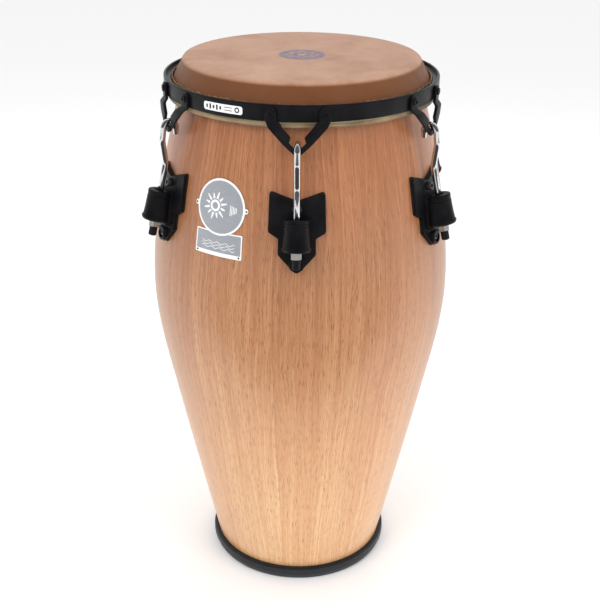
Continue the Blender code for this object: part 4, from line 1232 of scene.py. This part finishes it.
def add_badge(silver, white, dark):
    """Round plaque with side tabs over an oblong one, with a plain sunburst."""
    turn = Matrix.Rotation(math.radians(BADGE_ANGLE), 4, "Z")
    centre = (0.0, BADGE_HEIGHT)
    back = GAP
    face = GAP + BADGE_THICKNESS
    half = BADGE_PLATE_HALF_WIDTH
    top = BADGE_HEIGHT - BADGE_RADIUS + BADGE_PLATE_OVERLAP
    low = top - BADGE_PLATE_HEIGHT
    tab = BADGE_RADIUS + BADGE_TAB

    def layer(name, outline, start, end, material, bevel=0.0, node=None):
        mesh = bent_slab(name, outline, start, end, bevel, 0.006)
        add_piece(name, mesh, [material], "drum", node, turn)

    rim = [(t, z) for t, z in arc_points(centre, BADGE_RADIUS, 5, 175, 60)]
    rim += [(-tab + 0.0012, BADGE_HEIGHT + 0.0030), (-tab, BADGE_HEIGHT + 0.0015),
            (-tab, BADGE_HEIGHT - 0.0015), (-tab + 0.0012, BADGE_HEIGHT - 0.0030)]
    rim += arc_points(centre, BADGE_RADIUS, 185, 355, 60)
    rim += [(tab - 0.0012, BADGE_HEIGHT - 0.0030), (tab, BADGE_HEIGHT - 0.0015),
            (tab, BADGE_HEIGHT + 0.0015), (tab - 0.0012, BADGE_HEIGHT + 0.0030)]
    layer("badge_disc", rim, back + 0.0003, face, white, 0.0003, "badge_plate")
    layer("badge_field", arc_points(centre, BADGE_RADIUS - 0.0026, 0, 355, 71), face - 0.0001,
          face + 0.00008, silver)
    shift = 0.0075
    spot = (-shift, BADGE_HEIGHT + 0.001)
    for index in range(12):
        angle = math.radians(index * 30 + 15)
        near, far = 0.0092, 0.0155 if index % 2 else 0.0180
        side = Vector((-math.sin(angle), math.cos(angle)))
        away = Vector((math.cos(angle), math.sin(angle)))
        base = Vector(spot)
        ray = [base + away * near + side * 0.0016, base + away * near - side * 0.0016,
               base + away * far - side * 0.0007, base + away * far + side * 0.0007]
        layer("badge_ray_%02d" % (index + 1), [tuple(point) for point in reversed(ray)],
              face, face + 0.00016, white)
    layer("badge_sun", arc_points(spot, 0.0074, 0, 350, 35), face, face + 0.00016, white)
    layer("badge_sun_core", arc_points(spot, 0.0044, 0, 345, 23), face, face + 0.00022, silver)
    for index in range(5):
        left = 0.0150 + index * 0.0021
        tall = 0.0085 - index * 0.0011
        bar = rectangle(left, BADGE_HEIGHT - tall, left + 0.0010, BADGE_HEIGHT + tall * 0.6)
        layer("badge_bar_%d" % (index + 1), bar, face, face + 0.00014, white)
    plate = filleted(rectangle(-half, low, half, top), 0.0012, 3)
    layer("badge_oblong", plate, back, face - 0.0004, white, 0.00025)
    inset = 0.0016
    field = filleted(rectangle(-half + inset, low + 0.0050, half - inset, top - inset), 0.0008, 3)
    layer("badge_oblong_field", field, face - 0.0005, face - 0.00034, silver)
    for index in range(3):
        upper = [(t, low + 0.0105 + index * 0.0034 + 0.0012 * math.sin(t * 520 + index))
                 for t in [(-0.024 + 0.048 * step / 40) for step in range(41)]]
        lower = [(t, z - 0.0007) for t, z in reversed(upper)]
        layer("badge_wave_%d" % (index + 1), lower + upper, face - 0.0004, face - 0.0003, white)
    for index, (t, z) in enumerate((
            (-tab + 0.0021, BADGE_HEIGHT), (tab - 0.0021, BADGE_HEIGHT),
            (-half + 0.0036, low + 0.0028), (half - 0.0036, low + 0.0028))):
        level = face if index < 2 else face - 0.0004
        layer("badge_pin_%d" % (index + 1), arc_points((t, z), 0.0011, 0, 340, 17), level,
              level + 0.0005, dark, 0.0003)


def add_lugs(steel, rubber, gasket, chrome, zinc, bolt, cap):
    """Six tuning stations."""
    lift = Matrix.Translation
    corner = Matrix.Rotation(math.radians(30), 4, "Z")
    axis = rod_matrix()
    plate = plate_mesh()
    pad = bent_slab("lug_gasket", shield_outline(GASKET_MARGIN), GAP, GAP + GASKET, 0.0004)
    sleeve = sleeve_mesh()
    rod = rod_mesh()
    nut = hexagon_nut("tuning_nut", NUT_ACROSS_FLATS / 2, ROD_RADIUS + FIT, -NUT_HEIGHT, 0.0)
    end = cap_mesh()
    yoke = yoke_mesh()
    upper = bolt_mesh("upper_bolt", PLATE_FACE + FIT, BOLT_HEAD_RADIUS, 0.0026)
    lower = bolt_mesh("lower_bolt", PLATE_BACK + NOSE_FLOOR + FIT, NOSE_BOLT_HEAD_RADIUS, 0.0022)
    pieces = (
        ("yoke", yoke, steel, "rim", "hoop_yoke", Matrix.Identity(4), "black_steel"),
        ("gasket", pad, gasket, "drum", "lug_gasket", Matrix.Identity(4), "black_rubber"),
        ("plate", plate, steel, "drum", "lug_plate", Matrix.Identity(4), "black_steel"),
        ("sleeve", sleeve, rubber, "drum", "lug_sleeve", axis, "black_rubber"),
        ("upper_bolt", upper, bolt, "drum", "lug_bolt_upper", bolt_matrix(BOLT_HEIGHTS[0]),
         "black_bolt"),
        ("lower_bolt", lower, bolt, "drum", "lug_bolt_lower", bolt_matrix(BOLT_HEIGHTS[1]),
         "black_bolt"),
        ("rod", rod, chrome, "rod", "tuning_rod", axis, "chrome_rod"),
        ("cap", end, cap, "rod", "rod_end_cap", axis @ lift((0, 0, CAP_TOP)), "black_rubber"),
        ("nut", nut, zinc, "nut", "tuning_nut", axis @ lift((0, 0, NUT_TOP)) @ corner, "zinc_nut"),
    )
    for number in range(LUG_COUNT):
        label = "_%d" % (number + 1)
        turn = station_matrix(number)
        for name, mesh, material, body, node, matrix, slot in pieces:
            rides = body + label if body in ("rod", "nut") else body
            add_piece(name + label, mesh, [material], rides, node + label, turn @ matrix)


def main():
    """Build the looks."""
    add_camera()
    add_studio()
    steel = coated_material("black_powder_coat", (0.005, 0.005, 0.006), 0.32, 0.20, 900.0, 0.18)
    rubber = coated_material("black_sleeve_rubber", (0.004, 0.004, 0.005), 0.42, 0.12, 1600.0, 0.16)
    gasket = coated_material("grey_gasket_rubber", (0.012, 0.012, 0.013), 0.60, 0.25, 1200.0, 0.3)
    cap = coated_material("black_cap_rubber", (0.005, 0.005, 0.006), 0.38, 0.10, 1600.0, 0.25)
    bolt = coated_material("black_bolt_oxide", (0.022, 0.022, 0.025), 0.30, 0.08, 2200.0, 0.8)
    foot = coated_material("foot_ring_rubber", (0.007, 0.010, 0.013), 0.42, 0.14, 900.0, 0.4)
    chrome = metal_material("bright_chrome", (0.86, 0.87, 0.89), 0.07, 0.03)
    zinc = metal_material("bright_zinc", (0.96, 0.94, 0.87), 0.34, 0.12)
    silver = enamel_material("silver_field", (0.43, 0.45, 0.49), 0.40, 0.42)
    white = enamel_material("white_enamel", (0.83, 0.84, 0.83), 0.0, 0.35)
    dark = enamel_material("black_print", (0.015, 0.015, 0.017), 0.0, 0.40)
    add_shell(wood_material("lacquered_staves", True), wood_material("raw_staves", False))
    add_foot(foot)
    add_head(skin_material("natural_skin"))
    add_flesh_hoop(rawhide_material("lapped_hide", (0.36, 0.27, 0.15), (0.13, 0.085, 0.042)),
                   rawhide_material("trimmed_hide", (0.34, 0.19, 0.10), (0.11, 0.055, 0.025)))
    add_tension_hoop(steel)
    add_label(white, dark)
    add_badge(silver, white, dark)
    add_lugs(steel, rubber, gasket, chrome, zinc, bolt, cap)


main()
